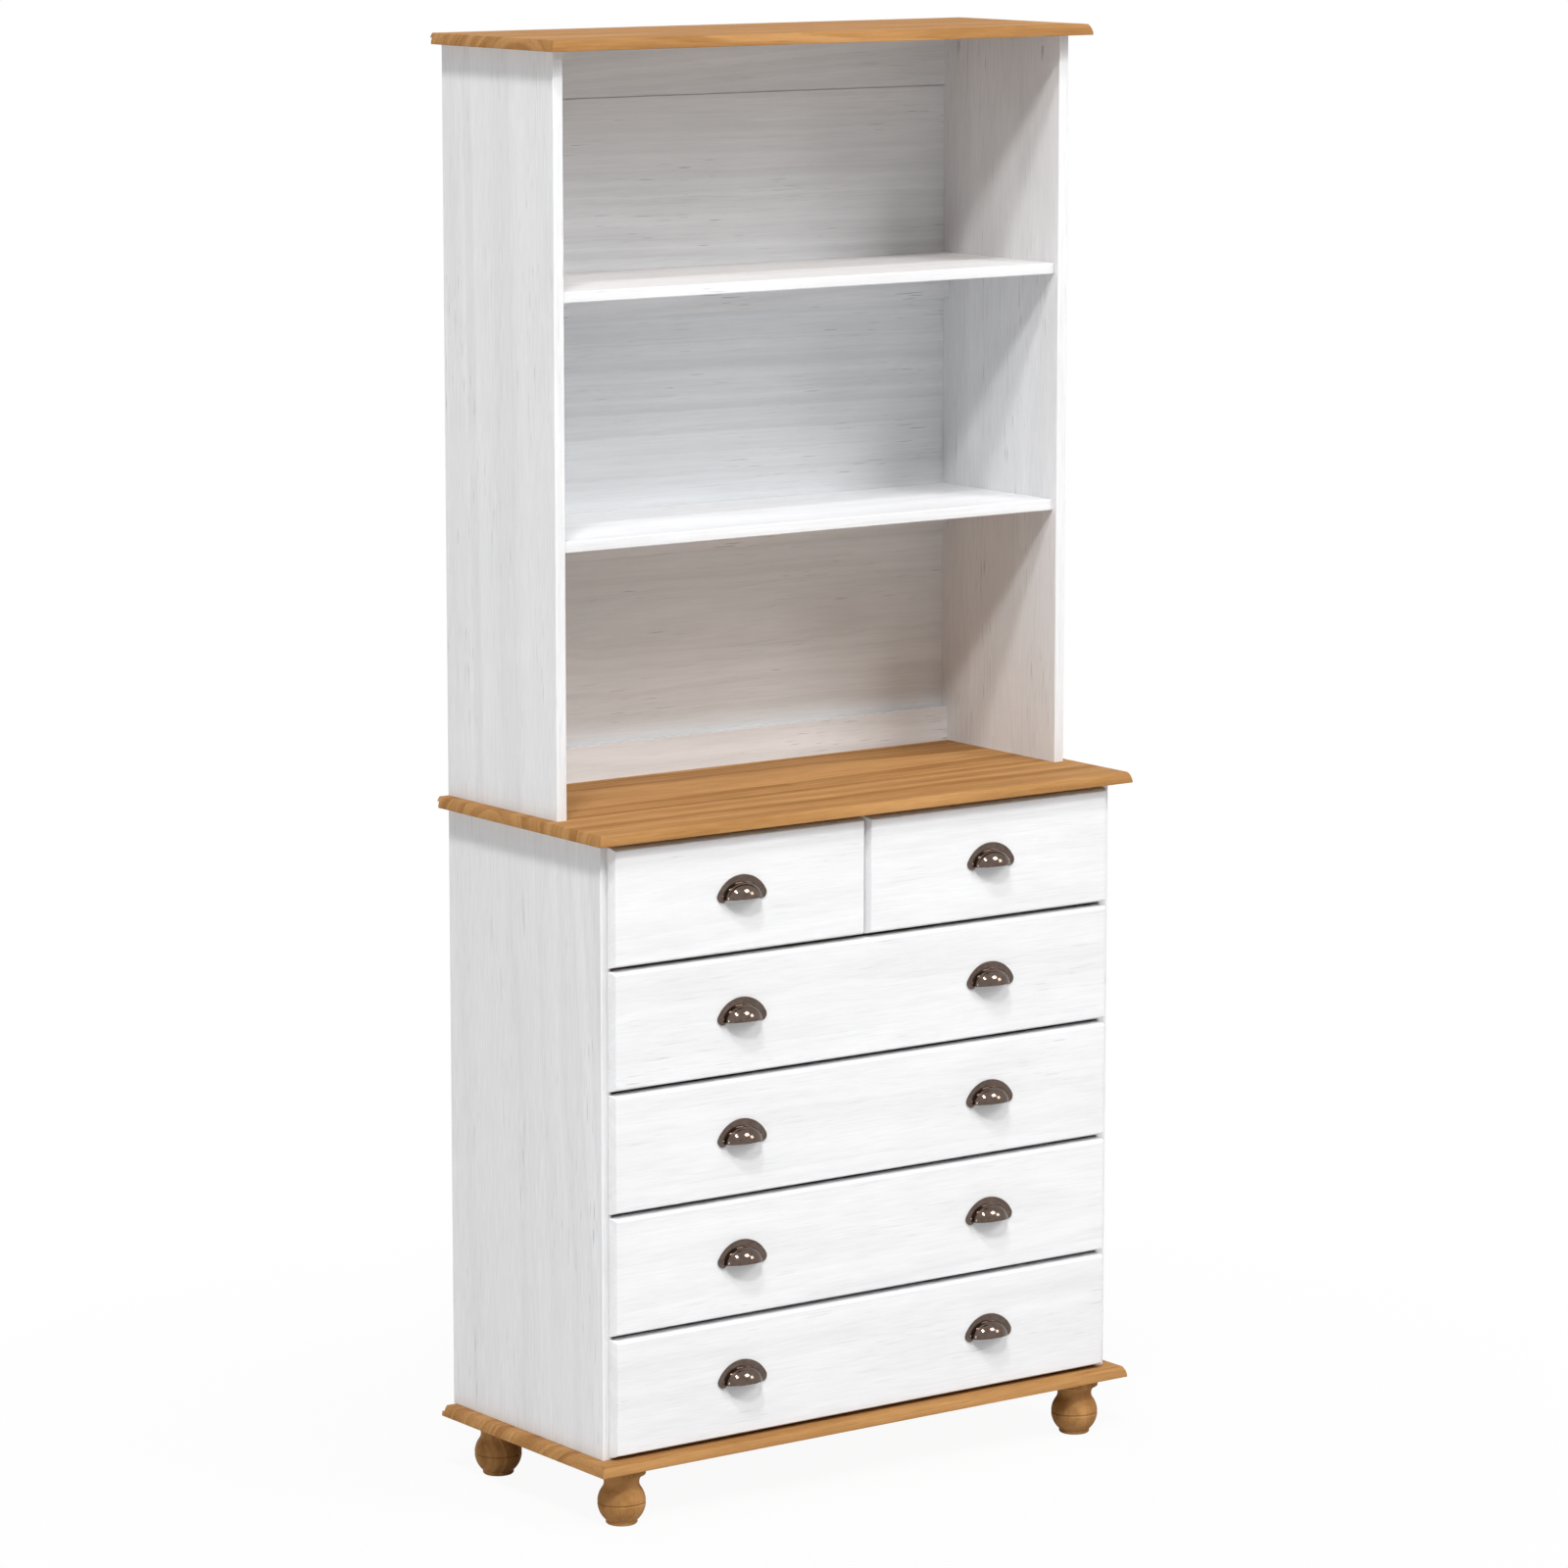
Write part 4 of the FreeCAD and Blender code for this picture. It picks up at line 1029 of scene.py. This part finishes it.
class BUFFET_OT_joinery(bpy.types.Operator):
    """Gives the hidden joinery, the drawer boxes and the fixings their finishes"""
    bl_idname = "buffet.joinery"
    bl_label = "Joinery"

    def execute(self, context):
        finishes = {
            "drawer_partition": white_pine("upright"),
            "partition_rails": raw_pine("X"),
            "drawer_runners": beech("Y"),
            "carcass_dowels": beech("X"),
            "runner_screws": zinc(),
            "pocket_screws": zinc(),
            "foot_bolts": zinc(),
        }
        for name in DRAWERS:
            finishes[name + "_sides"] = raw_pine("Y")
            finishes[name + "_back"] = raw_pine("X")
            finishes[name + "_bottom"] = thin_panel()
        for node, material in finishes.items():
            obj = frame["nodes"][node]
            obj.data.materials.clear()
            obj.data.materials.append(material)
        return {"FINISHED"}


class BUFFET_OT_studio(bpy.types.Operator):
    """Sets up the floor, the soft lights, the white surroundings and the camera"""
    bl_idname = "buffet.studio"
    bl_label = "Studio"

    # Name, turn from straight ahead of the fronts (right is positive), height angle, distance, side and power
    lamps = (
        ("key", -33, 47, 15.0, 1.6, 1000),
        ("key_high", -45, 57, 15.0, 1.6, 850),
        ("right", 30, 40, 15.0, 4.2, 900),
        ("right_low", 45, 20, 15.0, 3.2, 300),
        ("left_low", -90, 5, 15.0, 3.0, 320),
        ("rear", 180, 12, 15.0, 4.0, 600),
    )

    def execute(self, context):
        settings = context.scene.buffet_studio
        low, high = CAD_BOX
        middle = (low + high) / 2
        self.floor(settings, low.z)
        self.surroundings(context.scene, settings)
        for name, turn, height, distance, side, power in self.lamps:
            turn, height = math.radians(turn), math.radians(height)
            level = math.cos(height)
            aim = Vector((math.sin(turn) * level, -math.cos(turn) * level, math.sin(height)))
            bpy.ops.object.light_add(type="AREA", location=middle + aim * distance)
            lamp = named(context.object, "lamp_" + name)
            lamp.rotation_euler = aim.to_track_quat("Z", "Y").to_euler()
            lamp.data.size = side
            lamp.data.energy = power
        bpy.ops.object.camera_add(
            location=settings.camera_place,
            rotation=(math.pi / 2 - settings.camera_dip, 0, -settings.camera_turn))
        camera = named(context.object, "camera")
        camera.data.lens = settings.lens
        context.scene.camera = camera
        context.scene.view_settings.view_transform = "Standard"
        return {"FINISHED"}

    def seen_directly(self, recipe):
        """1 for rays from the camera, mirrored rays and those through glass, 0 for light on the object."""
        path = recipe.add("ShaderNodeLightPath", output="Is Camera Ray")
        outputs = path.output.node.outputs
        glossy = Socket(recipe, outputs["Is Glossy Ray"])
        through = Socket(recipe, outputs["Is Transmission Ray"])
        return path.math("MAXIMUM", glossy).math("MAXIMUM", through)

    def floor(self, settings, level):
        place = (0, 0, level)
        primitive = bpy.ops.mesh.primitive_plane_add
        floor = settle(started("studio_floor", primitive, size=settings.floor_size, location=place))
        material, recipe = new_material("studio_floor")
        grey = opaque([settings.floor_grey] * 3)
        matt = recipe.add("ShaderNodeBsdfDiffuse", None, {"Color": grey})
        white = recipe.add("ShaderNodeEmission", None, {"Color": WHITE, "Strength": 1.0})
        position = recipe.add("ShaderNodeTexCoord", output="Object")
        away = recipe.add("ShaderNodeVectorMath", {"operation": "LENGTH"}, {0: position}, "Value")
        fading = recipe.between(away, settings.shadow_reach, settings.shadow_end, settings.floor_white, 1.0)
        plain = self.seen_directly(recipe) * fading
        both = recipe.add("ShaderNodeMixShader", None, {0: plain, 1: matt, 2: white})
        recipe.add("ShaderNodeOutputMaterial", None, {"Surface": both})
        floor.data.materials.append(material)

    def surroundings(self, scene, settings):
        scene.world = bpy.data.worlds.new("studio")
        recipe = Recipe(scene.world)
        ambient = recipe.add("ShaderNodeBackground", None, {"Color": WHITE, "Strength": settings.ambient})
        white = recipe.add("ShaderNodeBackground", None, {"Color": WHITE, "Strength": 1.0})
        both = recipe.add("ShaderNodeMixShader", None, {0: self.seen_directly(recipe), 1: ambient, 2: white})
        recipe.add("ShaderNodeOutputWorld", None, {"Surface": both})


STEPS = (
    BUFFET_OT_honey_boards,
    BUFFET_OT_side_boards,
    BUFFET_OT_hutch_fittings,
    BUFFET_OT_back_panels,
    BUFFET_OT_bun_feet,
    BUFFET_OT_drawer_fronts,
    BUFFET_OT_cup_pulls,
    BUFFET_OT_pull_screws,
    BUFFET_OT_joinery,
    BUFFET_OT_studio,
)


class VIEW3D_PT_buffet(bpy.types.Panel):
    """Lists the steps that dress the buffet, and their sizes and colours"""
    bl_label = "Buffet and hutch"
    bl_idname = "VIEW3D_PT_buffet"
    bl_space_type = "VIEW_3D"
    bl_region_type = "UI"
    bl_category = "Buffet"

    def draw(self, context):
        for step in STEPS:
            self.layout.operator(step.bl_idname)
        for name in SETTINGS:
            group = getattr(context.scene, name)
            box = self.layout.box()
            for key in group.__annotations__:
                box.prop(group, key)


SETTINGS = {
    "buffet_boards": BoardSizes,
    "buffet_feet": FootSizes,
    "buffet_pulls": PullSizes,
    "buffet_colours": FinishColours,
    "buffet_studio": StudioSettings,
}
CLASSES = (*SETTINGS.values(), *STEPS, VIEW3D_PT_buffet)


def register():
    for cls in CLASSES:
        bpy.utils.register_class(cls)
    for name, group in SETTINGS.items():
        setattr(bpy.types.Scene, name, PointerProperty(type=group))


def unregister():
    for name in SETTINGS:
        delattr(bpy.types.Scene, name)
    for cls in reversed(CLASSES):
        bpy.utils.unregister_class(cls)


def main():
    register()
    for step in STEPS:
        group, operator = step.bl_idname.split(".")
        getattr(getattr(bpy.ops, group), operator)()


if __name__ == "__main__":
    main()
